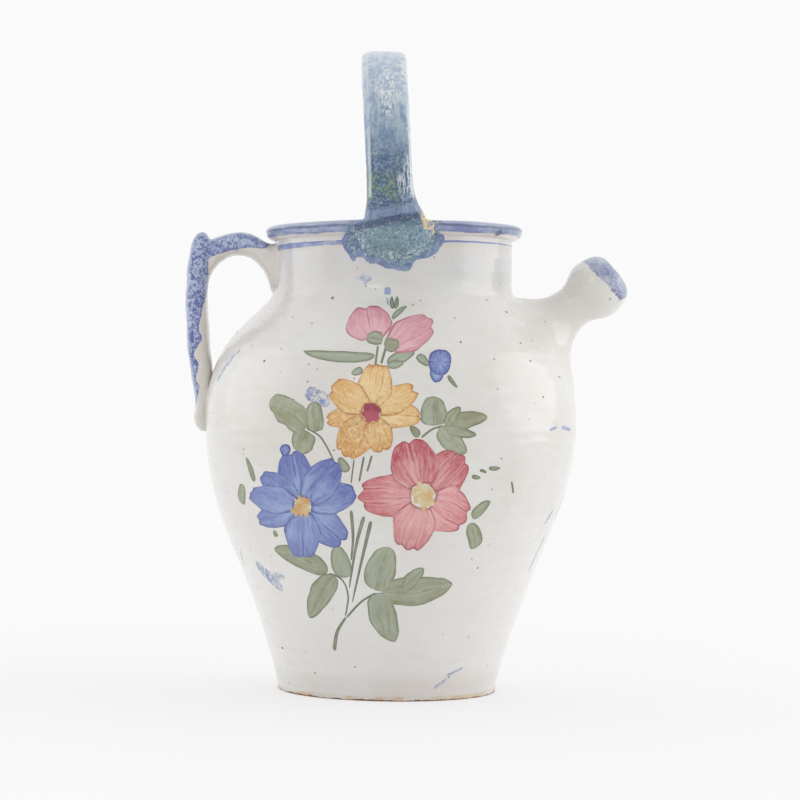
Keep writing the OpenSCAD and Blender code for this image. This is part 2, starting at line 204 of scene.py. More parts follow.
def thrown_r(z):
    """Radius of the thrown outline at a height."""
    k = max(1, min(len(THROWN) - 1, bisect_right(THROWN_HEIGHTS, z)))
    (r0, z0), (r1, z1) = THROWN[k - 1], THROWN[k]
    share = max(0.0, min(1.0, (z - z0) / (z1 - z0))) if z1 > z0 else 1.0
    return r0 + (r1 - r0) * share


def leaned(point):
    """Where a point of the upright neck or rim goes when the mouth leans towards the side handle."""
    above = point.z - NECK_TOP_Z
    if above < 0:
        share = max(0.0, min(1.0, 1 + above / (NECK_TOP_Z - SHOULDER_Z - NECK_ROOT_H)))
        return Vector((point.x, point.y, point.z + point.x * math.tan(MOUTH_LEAN) * share))
    return Vector((point.x * math.cos(MOUTH_LEAN) - above * math.sin(MOUTH_LEAN), point.y,
                   NECK_TOP_Z + point.x * math.sin(MOUTH_LEAN) + above * math.cos(MOUTH_LEAN)))


def on_wheel(r, azimuth, z):
    """The place at a radius, a direction round the wheel and a height."""
    return Vector((r * math.cos(azimuth), r * math.sin(azimuth), z))


class Skin:
    """The glazed surface of the thrown wall, which everything else is luted or painted on."""

    slack_z, slack_reach = 90 * MM, 28 * MM

    def __init__(self, forming):
        for name in JugForming.__annotations__:
            setattr(self, name, getattr(forming, name))

    def radius(self, z, azimuth):
        base = thrown_r(z)
        slow = noise.noise(on_wheel(base, azimuth, z) / self.lump_size)
        rings = self.ring_depth / 2 * math.sin(2 * math.pi * z / self.ring_pitch + 4 * slow)
        slack = self.slack * max(0, -math.cos(azimuth))
        sag = slack * math.exp(-((z - self.slack_z) / self.slack_reach) ** 2)
        return base - self.glaze_inset + rings + self.lump_depth * slow + sag

    def clearance(self, point):
        """How far a point lies outside the surface, and which way outwards is."""
        r = math.hypot(point.x, point.y)
        reach = 0.5 * MM
        slope = (thrown_r(point.z + reach) - thrown_r(point.z - reach)) / (2 * reach)
        steep = math.hypot(1, slope)
        outwards = Vector((point.x / r, point.y / r, -slope)) / steep
        return (r - self.radius(point.z, math.atan2(point.y, point.x))) / steep, outwards

    def settle(self, point):
        """Lifts a point of a luted piece so that the piece runs out smoothly on the surface."""
        gap, outwards = self.clearance(point)
        if gap > self.fillet:
            return point
        lifted = (gap + self.fillet) ** 2 / (4 * self.fillet) if gap > -self.fillet else 0
        return point + outwards * (lifted - gap)

    def on_glaze(self, point, lift):
        """The place on the glaze that is level with a point and in its direction, raised by the paint."""
        azimuth = math.atan2(point.y, point.x)
        return leaned(on_wheel(self.radius(point.z, azimuth) + lift, azimuth, point.z))


def in_plane(px, py):
    """The point of the axis plane behind one of the photograph's pixels, as across and up."""
    across, up = px - PICTURE_MIDDLE, PICTURE_MIDDLE - py
    return Vector((VIEWPOINT.x + PIXEL * (across * math.cos(VIEW_ROLL) - up * math.sin(VIEW_ROLL)),
                   VIEWPOINT.z + PIXEL * (across * math.sin(VIEW_ROLL) + up * math.cos(VIEW_ROLL))))


def seen_through(point):
    """The place on the front of the jug that the viewpoint sees through a point of the axis plane."""
    ray = Vector((point[0], 0, point[1])) - VIEWPOINT

    def outside(share):
        spot = VIEWPOINT + ray * share
        return math.hypot(spot.x, spot.y) > thrown_r(spot.z)

    return VIEWPOINT + ray * halved(1 - (BELLY_R + WALL) / ray.y, 1.0, outside)


def seen(px, py):
    """The place on the front of the jug that the photograph shows at one of its pixels."""
    return seen_through(in_plane(px, py))


# Modelling steps


def edit_mesh(*steps):
    """Runs operators in edit mode on all of the active piece."""
    bpy.ops.object.mode_set(mode="EDIT")
    bpy.ops.mesh.select_all(action="SELECT")
    for step in steps:
        step()
    bpy.ops.object.mode_set(mode="OBJECT")


def weld():
    bpy.ops.mesh.remove_doubles(threshold=WELD)


def face_outwards():
    bpy.ops.mesh.normals_make_consistent(inside=False)


def alone(piece):
    """Makes a piece the only selected and active one."""
    bpy.ops.object.select_all(action="DESELECT")
    piece.select_set(True)
    bpy.context.view_layer.objects.active = piece


def apply_modifier(piece, kind, **settings):
    alone(piece)
    modifier = piece.modifiers.new(kind.title(), kind)
    for name, value in settings.items():
        setattr(modifier, name, value)
    bpy.ops.object.modifier_apply(modifier=modifier.name)


def reshape(piece, rule):
    """Moves every point of a piece by a rule."""
    for vertex in piece.data.vertices:
        vertex.co = rule(vertex.co.copy())


def turned(name, outline, turns):
    """A thrown piece: its outline is drawn by extruding a point and then turned on the wheel."""
    bpy.ops.object.select_all(action="DESELECT")
    bpy.ops.mesh.primitive_plane_add(size=MM)
    piece = bpy.context.object
    piece.name = name
    edit_mesh(lambda: bpy.ops.mesh.merge(type="CENTER"),
              lambda: bpy.ops.transform.translate(value=(outline[0][0], 0, outline[0][1])))
    bpy.ops.object.mode_set(mode="EDIT")
    for (r0, z0), (r1, z1) in zip(outline, outline[1:]):
        bpy.ops.mesh.extrude_region_move(TRANSFORM_OT_translate={"value": (r1 - r0, 0, z1 - z0)})
    bpy.ops.object.mode_set(mode="OBJECT")
    apply_modifier(piece, "SCREW", steps=turns, render_steps=turns, use_merge_vertices=True,
                   merge_threshold=WELD)
    edit_mesh(weld, face_outwards)
    return piece


def grid(name, across, along):
    """A flat square sheet with so many steps across and along."""
    bpy.ops.object.select_all(action="DESELECT")
    bpy.ops.mesh.primitive_grid_add(x_subdivisions=across, y_subdivisions=along, size=1)
    bpy.context.object.name = name
    return bpy.context.object


def sheet(name, across, along, place):
    """A sheet of clay: place(u, v) gives the point at a share across and a share along."""
    piece = grid(name, across, along)
    reshape(piece, lambda co: place(co.x + 0.5, co.y + 0.5))
    return piece


STRAP_SQUARE = 0.75


def squared(value):
    """A sine or cosine squared off towards a rounded rectangle."""
    return math.copysign(abs(value) ** STRAP_SQUARE, value)


def pulled(name, sides, sections):
    """A pulled strap: a skin over its cross-sections with both ends closed.

    A section is its centre, half its thickness as a vector, half its width as a vector and the depth of the
    groove along its outer face."""
    last = len(sections) - 1

    def place(u, v):
        centre, thick, wide, groove = sections[round(v * last)]
        out, side = squared(math.cos(2 * math.pi * u)), squared(math.sin(2 * math.pi * u))
        dip = groove * max(0, out) * (1 - side * side) ** 2
        return centre + thick * (out - dip) + wide * side

    piece = sheet(name, sides, last, place)
    edit_mesh(weld)
    edit_mesh(lambda: bpy.ops.mesh.fill_holes(sides=0), face_outwards)
    return piece


def joined(name, pieces):
    bpy.ops.object.select_all(action="DESELECT")
    for piece in pieces:
        piece.select_set(True)
    bpy.context.view_layer.objects.active = pieces[0]
    if len(pieces) > 1:
        bpy.ops.object.join()
    pieces[0].name = name
    return pieces[0]


def kneaded(piece, grain, strokes, *lumps):
    """Fuses overlapping lengths of clay into one skin, smooths the joins and leaves small lumps."""
    apply_modifier(piece, "REMESH", mode="VOXEL", voxel_size=grain)
    apply_modifier(piece, "SMOOTH", factor=0.5, iterations=strokes)
    for depth, width, seed in lumps:
        moved = [v.co + v.normal * depth * noise.noise(v.co / width + Vector((seed, seed, seed)))
                 for v in piece.data.vertices]
        for vertex, place in zip(piece.data.vertices, moved):
            vertex.co = place


def note(piece, marks):
    """Writes numbers on every point of a piece for its material to read. Lengths are in millimetres."""
    for name, values in marks.items():
        piece.data.attributes.new(name, "FLOAT", "POINT").data.foreach_set("value", values)


def finish_piece(piece, material, slot, *nodes, angle=60):
    """Gives a piece its material and its place on the jug."""
    piece.data.materials.clear()
    piece.data.materials.append(material)
    alone(piece)
    bpy.ops.object.shade_smooth_by_angle(angle=math.radians(angle))
    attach(piece, "root")
    if nodes:
        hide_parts(*nodes)
    piece.select_set(False)


# Shader steps


class Recipe:
    """Builds a node tree. Each call adds one node and gives back what it puts out."""

    def __init__(self, tree, where=None):
        self.tree, self.where = tree, where

    def add(self, kind, inlets=None, outlet=0, **settings):
        node = self.tree.nodes.new(kind)
        for name, value in settings.items():
            setattr(node, name, value)
        for key, value in (inlets or {}).items():
            self.feed(node.inputs[key], value)
        return node.outputs[outlet]

    def feed(self, inlet, value):
        """Links a socket or sets a value. A colour written as a tuple is in levels from 0 to 255."""
        if isinstance(value, bpy.types.NodeSocket):
            self.tree.links.new(value, inlet)
        elif inlet.type == "RGBA":
            inlet.default_value = (*(srgb(*value) if isinstance(value, tuple) else value), 1)
        else:
            inlet.default_value = value

    def put_out(self, kind, surface):
        self.feed(self.tree.nodes.new(kind).inputs["Surface"], surface)

    def math(self, operation, *values):
        return self.add("ShaderNodeMath", dict(enumerate(values)), operation=operation)

    def rise(self, value, low, high):
        """0 below low, 1 above high and smooth between them."""
        return self.add("ShaderNodeMapRange", {"Value": value, "From Min": low, "From Max": high},
                        interpolation_type="SMOOTHSTEP")

    def rest(self, mask):
        return self.math("SUBTRACT", 1, mask)

    def fall(self, value, low, high):
        return self.rest(self.rise(value, low, high))

    def both(self, *masks):
        result = masks[0]
        for mask in masks[1:]:
            result = self.math("MULTIPLY", result, mask)
        return result

    def either(self, *masks):
        result = masks[0]
        for mask in masks[1:]:
            result = self.math("MAXIMUM", result, mask)
        return result

    def blend(self, a, share_a, b, share_b):
        return self.math("MULTIPLY_ADD", a, share_a, self.math("MULTIPLY", b, share_b))

    def mix(self, mask, under, over):
        return self.add("ShaderNodeMix", {0: mask, 6: under, 7: over}, outlet=2, data_type="RGBA")

    def coats(self, under, *coats):
        """Colours laid one over the other: each is its colour, then the masks and shares that hold it in."""
        for tint, *masks in coats:
            under = self.mix(self.both(*masks), under, tint)
        return under

    def noise(self, cells, detail=3, roughness=0.55, warp=0, where=None, outlet=0):
        """Cloudy noise; cells is how many of its grains fit in a metre or in one turn of the map."""
        return self.add("ShaderNodeTexNoise",
                        {"Vector": self.where if where is None else where, "Scale": cells, "Detail": detail,
                         "Roughness": roughness, "Distortion": warp}, outlet=outlet)

    def patches(self, low, high, *cloud, where=None):
        """Patches where noise rises from low to high."""
        return self.rise(self.noise(*cloud, where=where), low, high)

    def swayed(self, value, reach, *cloud):
        """A value that noise moves up and down by half its reach."""
        return self.math("ADD", value, self.math("MULTIPLY_ADD", self.noise(*cloud), reach, -reach / 2))

    def split(self, where):
        node = self.tree.nodes.new("ShaderNodeSeparateXYZ")
        self.feed(node.inputs[0], where)
        return node.outputs[0], node.outputs[1], node.outputs[2]

    def apart(self, value, centre=0):
        """How far a value lies from a centre."""
        return self.math("ABSOLUTE", self.math("SUBTRACT", value, centre))

    def stretched(self, *scale, where=None):
        return self.add("ShaderNodeMapping",
                        {"Vector": self.where if where is None else where, "Scale": scale})

    def attribute(self, name):
        return self.add("ShaderNodeAttribute", outlet="Fac", attribute_name=name)

    def group(self, group, inlets):
        node = self.tree.nodes.new("ShaderNodeGroup")
        node.node_tree = group
        for name, value in inlets.items():
            self.feed(node.inputs[name], value)
        return node.outputs

    def seen_by(self, *rays):
        """1 for the named kinds of ray and 0 for the rest."""
        path = self.tree.nodes.new("ShaderNodeLightPath").outputs
        return self.either(*(path[ray] for ray in rays))


class Finish(Recipe):
    """The material of one piece. Lengths in it are in millimetres."""

    def __init__(self, name):
        self.material = bpy.data.materials.new(name)
        self.material.use_nodes = True
        self.material.node_tree.nodes.clear()
        super().__init__(self.material.node_tree)
        self.where = self.add("ShaderNodeTexCoord", outlet="Object")

    def measured(self):
        """The place of a point, in millimetres."""
        return self.add("ShaderNodeVectorMath", {0: self.where, "Scale": 1 / MM}, operation="SCALE")

    def away_from(self, place):
        return self.add("ShaderNodeVectorMath", {0: self.measured(), 1: tuple(-place / MM)}, operation="ADD")

    def along(self, way, direction):
        return self.add("ShaderNodeVectorMath", {0: way, 1: tuple(direction)}, outlet="Value",
                        operation="DOT_PRODUCT")

    def by_axis(self):
        """Across, back, up, the height in the leaning mouth's own measure, and how far from the axis."""
        x, y, z = self.split(self.measured())
        level = self.math("MULTIPLY_ADD", x, -math.tan(MOUTH_LEAN), z)
        return x, y, z, level, self.math("SQRT", self.blend(x, x, y, y))

    def grain(self, pit_share):
        return self.group(shared("Glaze grain", glaze_grain), {"Vector": self.where, "Pit share": pit_share})

    def tin_glaze(self, glazes, pit_share=0.1):
        """Colour, roughness and height of the white glaze."""
        grain = self.grain(pit_share)
        base = self.coats(glazes.white, (glazes.cream, grain["Mottle"], 0.45),
                          (glazes.rosy, grain["Bloom"], 0.55), (glazes.pit, grain["Pits"], 0.75))
        return base, self.math("MULTIPLY_ADD", grain["Mottle"], 0.08, 0.24), grain["Height"]

    def fire(self, base, roughness, relief, depth, strength, gloss=0.5, cover=None):
        """Ends the material as a glazed or bare surface with its relief so many millimetres deep."""
        normal = self.add("ShaderNodeBump", {"Height": relief, "Distance": depth * MM, "Strength": strength})
        inlets = {"Base Color": base, "Roughness": roughness, "Normal": normal, "Coat Weight": gloss,
                  "Coat Roughness": 0.07, "IOR": 1.5}
        if cover is not None:
            inlets["Alpha"] = cover
        self.put_out("ShaderNodeOutputMaterial", self.add("ShaderNodeBsdfPrincipled", inlets))
        return self.material


def new_group(name, vectors, numbers, outlets):
    """A shared effect: the group, its recipe, what comes in and where its numbers go out."""
    group = bpy.data.node_groups.new(name, "ShaderNodeTree")
    for kind, way, labels in (("NodeSocketVector", "INPUT", vectors), ("NodeSocketFloat", "INPUT", numbers),
                              ("NodeSocketFloat", "OUTPUT", outlets)):
        for label in labels:
            group.interface.new_socket(name=label, in_out=way, socket_type=kind)
    come = group.nodes.new("NodeGroupInput").outputs
    return group, Recipe(group, come["Vector"]), come, group.nodes.new("NodeGroupOutput").inputs


def shared(name, build):
    """The node group of that name, built the first time that a material asks for it."""
    return bpy.data.node_groups.get(name) or build(name)


def glaze_grain(name):
    """Mottling, pinholes and the small waves of a fired tin glaze."""
    group, r, come, go = new_group(name, ("Vector",), ("Pit share",), ("Mottle", "Bloom", "Pits", "Height"))
    streaked = r.stretched(1, 1, 5)
    mottle = r.blend(r.noise(60, 4, 0.6, where=streaked), 0.35, r.noise(38, 4, 0.6, 0.4), 0.65)
    r.feed(go["Mottle"], r.rise(mottle, 0.38, 0.66))
    r.feed(go["Bloom"], r.patches(0.46, 0.68, 14, 3, 0.5, 0.6))
    pits = []
    for cells, radius in ((210, 0.13), (95, 0.075)):
        cell = r.add("ShaderNodeTexVoronoi", {"Vector": r.where, "Scale": cells}).node.outputs
        spread = r.math("MULTIPLY_ADD", r.noise(1500, 2), 0.12, cell["Distance"])
        chosen = r.math("LESS_THAN", r.split(cell["Color"])[0], come["Pit share"])
        pits.append(r.both(r.fall(spread, radius, radius + 0.09), chosen))
    pitted = r.either(*pits)
    r.feed(go["Pits"], pitted)
    ripple = r.blend(r.noise(170, 3, 0.6, where=streaked), 0.8, r.noise(300, 2, 0.5), 0.5)
    r.feed(go["Height"], r.math("MULTIPLY_ADD", pitted, -1.6, ripple))
    return group


def brushwork(name):
    """Streaks, pooled edges and the broken outline of a brush stroke of enamel."""
    group, r, come, go = new_group(name, ("Map", "Vector"), ("Edge", "Streaks"),
                                   ("Streak", "Fine", "Pool", "Cover", "Wash"))
    flow = r.stretched(1, 0.16, 1, where=come["Map"])
    wander = r.noise(90, 2, 0.5, outlet=1)
    bent = r.add("ShaderNodeVectorMath", {0: wander, 1: (0.45, 0.1, 0), 2: flow}, operation="MULTIPLY_ADD")
    r.feed(go["Streak"], r.patches(0.36, 0.64, 4.5, 4, 0.7, where=bent))
    r.feed(go["Fine"], r.patches(0.40, 0.62, 26, 4, 0.7, where=bent))
    ragged = r.math("MULTIPLY_ADD", r.noise(900, 3, 0.6), 0.7, come["Edge"])
    r.feed(go["Pool"], r.fall(ragged, 0.30, 1.25))
    bare = r.both(r.patches(0.60, 0.70, 22, 2, 0.5, where=bent), come["Streaks"])
    r.feed(go["Cover"], r.both(r.rise(ragged, 0.24, 0.46), r.rest(bare)))
    r.feed(go["Wash"], r.patches(0.35, 0.68, 160, 4, 0.6, 0.5))
    return group


# Thrown pieces


def glaze_vessel(glazes):
    """White tin glaze with the blue line round the neck and clay showing through at the foot, with painted
    shade on the neck and a painted lighter lower belly.
    """
    r = Finish("white tin glaze")
    base, roughness, height = r.tin_glaze(glazes)
    x, _y, z, level, radius = r.by_axis()
    outside = r.rise(radius, MOUTH_R / MM + 2, MOUTH_R / MM + 4)
    swayed = r.swayed(level, 2.0, 26, 3, 0.6)
    gathered = r.both(outside, r.rise(swayed, 235.5, 238.6), r.fall(swayed, 238.8, 239.6))
    over = r.math("SUBTRACT", swayed, r.math("MULTIPLY_ADD", x, 0.019, 238.9))
    line = r.both(outside, r.rise(over, 0, 0.5), r.fall(swayed, 240.7, 241.2),
                  r.patches(0.30, 0.42, 70, 3, 0.6))
    tone = r.patches(0.32, 0.70, 120, 4, 0.65)
    ink = r.mix(tone, glazes.cobalt, glazes.sky)
    worn = r.math("MULTIPLY_ADD", r.noise(240, 4, 0.7), -3.4, z)
    bare = r.both(outside, r.fall(worn, FOOT_H / MM - 2.2, FOOT_H / MM - 1.8))
    # Painted shade: the neck and upper shoulder are greyed where the rim shades them.
    base = r.coats(base, ((192, 193, 196), outside, r.rise(z, 205, 226), r.noise(24, 2), 0.75),
                   # Painted light: the lower belly is lightened where it faces down and gets less light.
                   ((240, 238, 236), outside, r.fall(z, 60, 130), 0.45), (glazes.pooled, gathered, 0.40),
                   (r.mix(r.fall(swayed, 239.9, 240.5), glazes.cobalt, ink), line, 0.85),
                   (r.mix(tone, glazes.scorched, glazes.clay), bare))
    return r.fire(base, r.either(roughness, r.both(bare, 0.8)), height, 0.09, 0.55)


PIERCE_R = 12.6 * MM


def make_vessel(skin, glazes):
    """The belly and the neck, hollow, with the wall pierced behind the spout."""
    outer = spaced(BODY_OUTLINE + NECK_OUTLINE[1:] + [(NECK_R, NECK_TOP_Z)], 1.25 * MM)
    inner_low = FLOOR_Z + FLOOR_ROUND
    inner = ([(MOUTH_R, NECK_TOP_Z)] + wall_outline(FOOT_R - WALL, inner_low, BELLY_R - WALL, MOUTH_R)[::-1]
             + arc((FOOT_R - WALL - FLOOR_ROUND, inner_low), FLOOR_ROUND, -30, -90) + [(0, FLOOR_Z)])
    under = spaced([(0, FOOT_H), (FOOT_R, FOOT_H)], 6 * MM)
    vessel = turned("vessel", under + outer[1:] + spaced(inner, 3 * MM), skin.turns)

    def press(co):
        r = math.hypot(co.x, co.y)
        if r < MM:
            return co
        azimuth = math.atan2(co.y, co.x)
        if co.z <= FOOT_H + 0.01 * MM:
            pressed = r * skin.radius(FOOT_H, azimuth) / FOOT_R
        elif r > thrown_r(co.z) - WALL / 2:
            pressed = skin.radius(co.z, azimuth)
        else:
            lumps = 1.5 * skin.lump_depth * noise.noise(co / skin.lump_size)
            rings = skin.ring_depth / 2 * math.sin(2 * math.pi * co.z / (1.6 * skin.ring_pitch))
            pressed = r + lumps + rings
        return leaned(on_wheel(pressed, azimuth, co.z))

    reshape(vessel, press)
    bpy.ops.mesh.primitive_cylinder_add(vertices=64, radius=PIERCE_R, depth=36 * MM,
                                        location=WAIST - SPOUT_ALONG * 24 * MM,
                                        rotation=(0, math.pi / 2 - SPOUT_RISE, 0))
    awl = bpy.context.object
    apply_modifier(vessel, "BOOLEAN", object=awl, operation="DIFFERENCE", solver="EXACT")
    bpy.data.objects.remove(awl)
    finish_piece(vessel, glaze_vessel(glazes), "white_glaze", "body", "neck_collar")


# A drop of blue that ran together on the rim's lower edge
RIM_BEAD = Vector((56, -40.5, 246)) * MM


def glaze_rim(glazes):
    """Blue band over the rolled rim: pale on its top edge, with a dark streak where the brush turned."""
    r = Finish("blue rim glaze")
    base, roughness, height = r.tin_glaze(glazes)
    x, _y, _z, level, radius = r.by_axis()
    sway = r.swayed(level, 3.2, 30, 3, 0.6)
    runs = r.noise(150, 4, 0.7, where=r.stretched(1, 1, 2.5))
    patch = r.rise(r.blend(runs, 0.5, r.noise(40, 3, 0.6, 0.8), 0.5), 0.40, 0.62)
    streak = r.both(r.rise(sway, 247.6, 248.2), r.fall(sway, 248.8, 249.3),
                    r.patches(0.30, 0.46, 38, 3, 0.7))
    under = r.both(r.fall(sway, 245.4, 246.2), r.patches(0.40, 0.60, 60, 3, 0.7))
    bead = r.add("ShaderNodeVectorMath", {0: r.away_from(RIM_BEAD)}, outlet="Value", operation="LENGTH")
    bead = r.fall(bead, 2.0, 3.4)
    across = r.math("MULTIPLY_ADD", r.noise(90, 3), 8, r.apart(x))
    by_pad = r.both(r.fall(across, 27, 30), r.rise(radius, NECK_R / MM - 2, NECK_R / MM))
    fine = r.noise(560, 4, 0.8)
    mottled = r.coats(r.mix(r.rise(fine, 0.42, 0.56), (66, 94, 130), (148, 172, 184)),
                      ((208, 220, 222), r.rise(fine, 0.60, 0.64), 0.8))
    ink = r.coats(r.mix(patch, (108, 120, 172), (158, 170, 202)),
                  ((118, 140, 158), r.patches(0.48, 0.66, 24, 3, 0.6), 0.6),
                  ((168, 176, 196), r.rise(sway, 248.9, 250.0), 0.85), ((62, 76, 116), streak, 0.80),
                  (glazes.cobalt, under, 0.6), ((66, 74, 124), bead), (mottled, by_pad, 0.85))
    painted = r.both(r.rise(sway, 244.8, 245.3), r.patches(0.22, 0.36, 210, 4, 0.7))
    base = r.coats(base, (glazes.pooled, r.patches(0.45, 0.7, 50, 3), 0.35),
                   (ink, r.either(painted, by_pad, bead), 0.94))
    return r.fire(base, roughness, height, 0.09, 0.6)


def make_rim(skin, glazes):
    """The rolled rim, with the blue band's groove pressed in by the tool."""
    inner = arc((MOUTH_R + MOUTH_ROUND, RIM_Z - MOUTH_ROUND), MOUTH_ROUND, 90, 180) + [(MOUTH_R, NECK_TOP_Z)]
    rim = turned("rim_roll", spaced(RIM_OUTLINE + inner, 0.7 * MM) + [(NECK_R, NECK_TOP_Z)], skin.turns)

    def press(co):
        r, azimuth = math.hypot(co.x, co.y), math.atan2(co.y, co.x)
        share = max(0.0, min(1.0, (co.z - NECK_TOP_Z) / (3 * MM)))
        outer = r > MOUTH_R + 1.5 * MM
        lump = 0.22 * MM * noise.noise(Vector((co.x, co.y, 3 * co.z)) / (16 * MM)) * share
        groove = 0.35 * MM * math.exp(-((co.z - 247.9 * MM) / (0.8 * MM)) ** 2) if outer else 0
        pressed = r + (skin.radius(NECK_TOP_Z, azimuth) - NECK_R if outer else 0) + lump - groove
        dip = 0.25 * MM * share * (noise.noise(Vector((co.x, co.y, 0)) / (30 * MM)) - 0.6)
        return leaned(on_wheel(pressed, azimuth, co.z + dip))

    reshape(rim, press)
    finish_piece(rim, glaze_rim(glazes), "blue_glaze", "rim")


def bare_foot(glazes):
    """Unglazed earthenware with grog, browned at its edge and ringed underneath by the cutting string."""
    r = Finish("bare earthenware")
    _x, _y, z, _level, radius = r.by_axis()
    swirl = r.add("ShaderNodeTexWave", {"Vector": r.where, "Scale": 70, "Distortion": 2.5, "Detail": 2},
                  wave_type="RINGS", rings_direction="Z", outlet="Fac")
    grog = r.noise(420, 5, 0.7)
    edge = r.rise(r.math("MULTIPLY_ADD", r.noise(150, 3), 1.6, z), 1.6, 2.8)
    glazed = r.both(r.rise(radius, FOOT_R / MM - 1.4, FOOT_R / MM - 1.0),
                    r.rise(r.swayed(z, 3.2, 130, 4, 0.75), 0.5, 0.8))
    base = r.coats(r.mix(r.rise(grog, 0.35, 0.7), glazes.clay, (196, 152, 112)),
                   (glazes.scorched, edge, 0.75), ((92, 72, 60), r.rise(z, 0.1, 0.3), 0.6),
                   (glazes.scorched, r.rise(swirl, 0.5, 0.9), 0.18),
                   (r.mix(r.patches(0.46, 0.62, 60, 3, 0.6), glazes.white, (222, 200, 172)), glazed, 0.92))
    roughness = r.math("MULTIPLY_ADD", glazed, -0.4, r.math("MULTIPLY_ADD", grog, 0.2, 0.7))
    return r.fire(base, roughness, r.blend(grog, 0.6, swirl, 0.5), 0.3, 0.7, 0.0)


def make_foot(skin, glazes):
    """The bare disc that the jug stands on, worn a little round its side."""
    reach, bevel = FOOT_R - 0.25 * MM, 0.8 * MM
    outline = ([(0, 0)] + spaced([(0, 0), (reach - bevel, 0)], 5 * MM)[1:]
               + arc((reach - bevel, bevel), bevel, -90, 0, 4)[1:] + [(reach, FOOT_H), (0, FOOT_H)])
    foot = turned("foot_disc", outline, skin.turns)

    def wear(co):
        if co.z < 0.05 * MM:
            return co
        grain = noise.noise(Vector((3 * co.x, 3 * co.y, co.z)) / (6 * MM))
        return co + Vector((co.x, co.y, 0)).normalized() * 0.16 * MM * grain

    reshape(foot, wear)
    finish_piece(foot, bare_foot(glazes), "bare_clay", "foot", angle=35)


# The spout

SPOUT_ROOT_R, SPOUT_ROOT_L = 30 * MM, 23.6 * MM
WAIST_R, BULB_R, BULB_L = 11.7 * MM, 16.9 * MM, 30.4 * MM
TUBE_BORE_R, POUR_BORE_R = 8.2 * MM, 6.5 * MM
TUBE_SHARES = ((0.72, 0.28), (1, 0.62))
SWELL_SHARES = ((0.05, 0.42), (1, 0.55))
DOME_SHARES = ((0, 0.5), (0.45, 1))
BULB_WIDEST = (BULB_R, 0.556 * BULB_L)


def glaze_spout(glazes):
    """White glaze with blue brushed over the upper part of the bulb's end, its edge ragged."""
    r = Finish("spout glaze")
    base, roughness, height = r.tin_glaze(glazes, 0.16)
    level = r.away_from(WAIST)
    up = r.along(level, SPOUT_UP)
    depth = r.swayed(r.math("MULTIPLY_ADD", up, 0.09, r.along(level, SPOUT_ALONG)), 5.2, 150, 5, 0.75)
    side = r.swayed(up, 5.2, 150, 5, 0.75)
    fine = r.patches(0.46, 0.60, 560, 4, 0.8)
    low = r.fall(up, -8, 3)
    ink = r.coats(r.mix(r.patches(0.36, 0.64, 100, 4, 0.65, 0.6), (98, 114, 166), (164, 176, 200)),
                  ((204, 212, 222), fine, 0.50),
                  ((56, 70, 138), low, r.fall(depth, 21.5, 26.5), r.fall(fine, 0.2, 0.8), 0.90),
                  ((110, 158, 152), low, r.rise(depth, 23, 27), r.patches(0.42, 0.56, 120, 3), 0.8))
    cover = r.both(r.rise(depth, 20.6, 20.9), r.rise(side, -14, -13), r.patches(0.22, 0.34, 500, 4, 0.7))
    dark = r.both(r.rise(depth, 19.6, 20.2), r.fall(depth, 20.9, 21.8), low, r.rise(side, -13, -11),
                  r.patches(0.52, 0.58, 600, 3, 0.7))
    base = r.coats(base, (ink, cover, 0.94), ((58, 62, 84), dark, 0.85), (glazes.cream, 0.12))
    return r.fire(base, roughness, height, 0.10, 0.6)


def make_spout(skin, glazes):
    """The trumpet and the bulb as one skin that runs out on the shoulder, hollow through to the wall."""
    flare = curve((SPOUT_ROOT_R, -SPOUT_ROOT_L), (WAIST_R, 0), TUBE_SHARES)
    places = [s for r, s in flare]
    slope = (flare[1][0] - flare[0][0]) / (flare[1][1] - flare[0][1])

    def flare_r(s):
        if s < places[0]:
            return SPOUT_ROOT_R + slope * (s - places[0])
        k = max(1, min(len(flare) - 1, bisect_right(places, s)))
        (r0, s0), (r1, s1) = flare[k - 1], flare[k]
        return r0 + (r1 - r0) * (s - s0) / (s1 - s0)

    def at(s, r, azimuth):
        return (WAIST + SPOUT_ALONG * s + SPOUT_UP * r * math.cos(azimuth)
                + Vector((0, 1, 0)) * r * math.sin(azimuth))

    lip = POUR_BORE_R / 4
    end = (curve((WAIST_R, 0), BULB_WIDEST, SWELL_SHARES)
           + curve(BULB_WIDEST, (POUR_BORE_R + lip, BULB_L), DOME_SHARES)[1:]
           + arc((POUR_BORE_R + lip, BULB_L - lip), lip, 90, 180)[1:]
           + [(TUBE_BORE_R - 1.2 * MM, BULB_L / 2), (TUBE_BORE_R, 0)])
    passage = curve((PIERCE_R, -SPOUT_ROOT_L), (TUBE_BORE_R, 0), TUBE_SHARES)[::-1]
    fixed = spaced(end, 0.9 * MM)[1:] + spaced(passage, 2 * MM)[1:]
    flare_steps, sides = 36, 120
    last = flare_steps + 1 + len(fixed) + 1
    roots = {}

    def root(azimuth):
        """How far down its axis the trumpet meets the glaze, in this direction round it."""
        key = round(azimuth, 6)
        if key not in roots:
            roots[key] = halved(0.0, -1.3 * SPOUT_ROOT_L,
                                lambda s: skin.clearance(at(s, flare_r(s), azimuth))[0] > -skin.fillet)
        return roots[key]

    def place(u, v):
        azimuth = 2 * math.pi * (u % 1)
        k = round(v * last)
        if flare_steps + 1 < k < last:
            r, s = fixed[k - flare_steps - 2]
            point = at(s, r, azimuth)
            return point + (point - WAIST).normalized() * 0.35 * MM * (noise.noise(point / (11 * MM)) - 0.5)
        share = 0 if k == last else max(0, k - 1) / flare_steps
        s = root(azimuth) * (1 - share)
        point = skin.settle(at(s, flare_r(s), azimuth))
        gap, outwards = skin.clearance(point)
        fade = min(1, share / 0.3)
        fade = fade * fade * (3 - 2 * fade)
        sunk = 0.8 * MM if k in (0, last) else 0.12 * MM
        return point - outwards * (1 - fade) * (gap + sunk)

    spout = sheet("spout_horn", sides, last, place)
    edit_mesh(weld, face_outwards)
    finish_piece(spout, glaze_spout(glazes), "spout_glaze", "spout_tube", "spout_bulb")


# The side handle

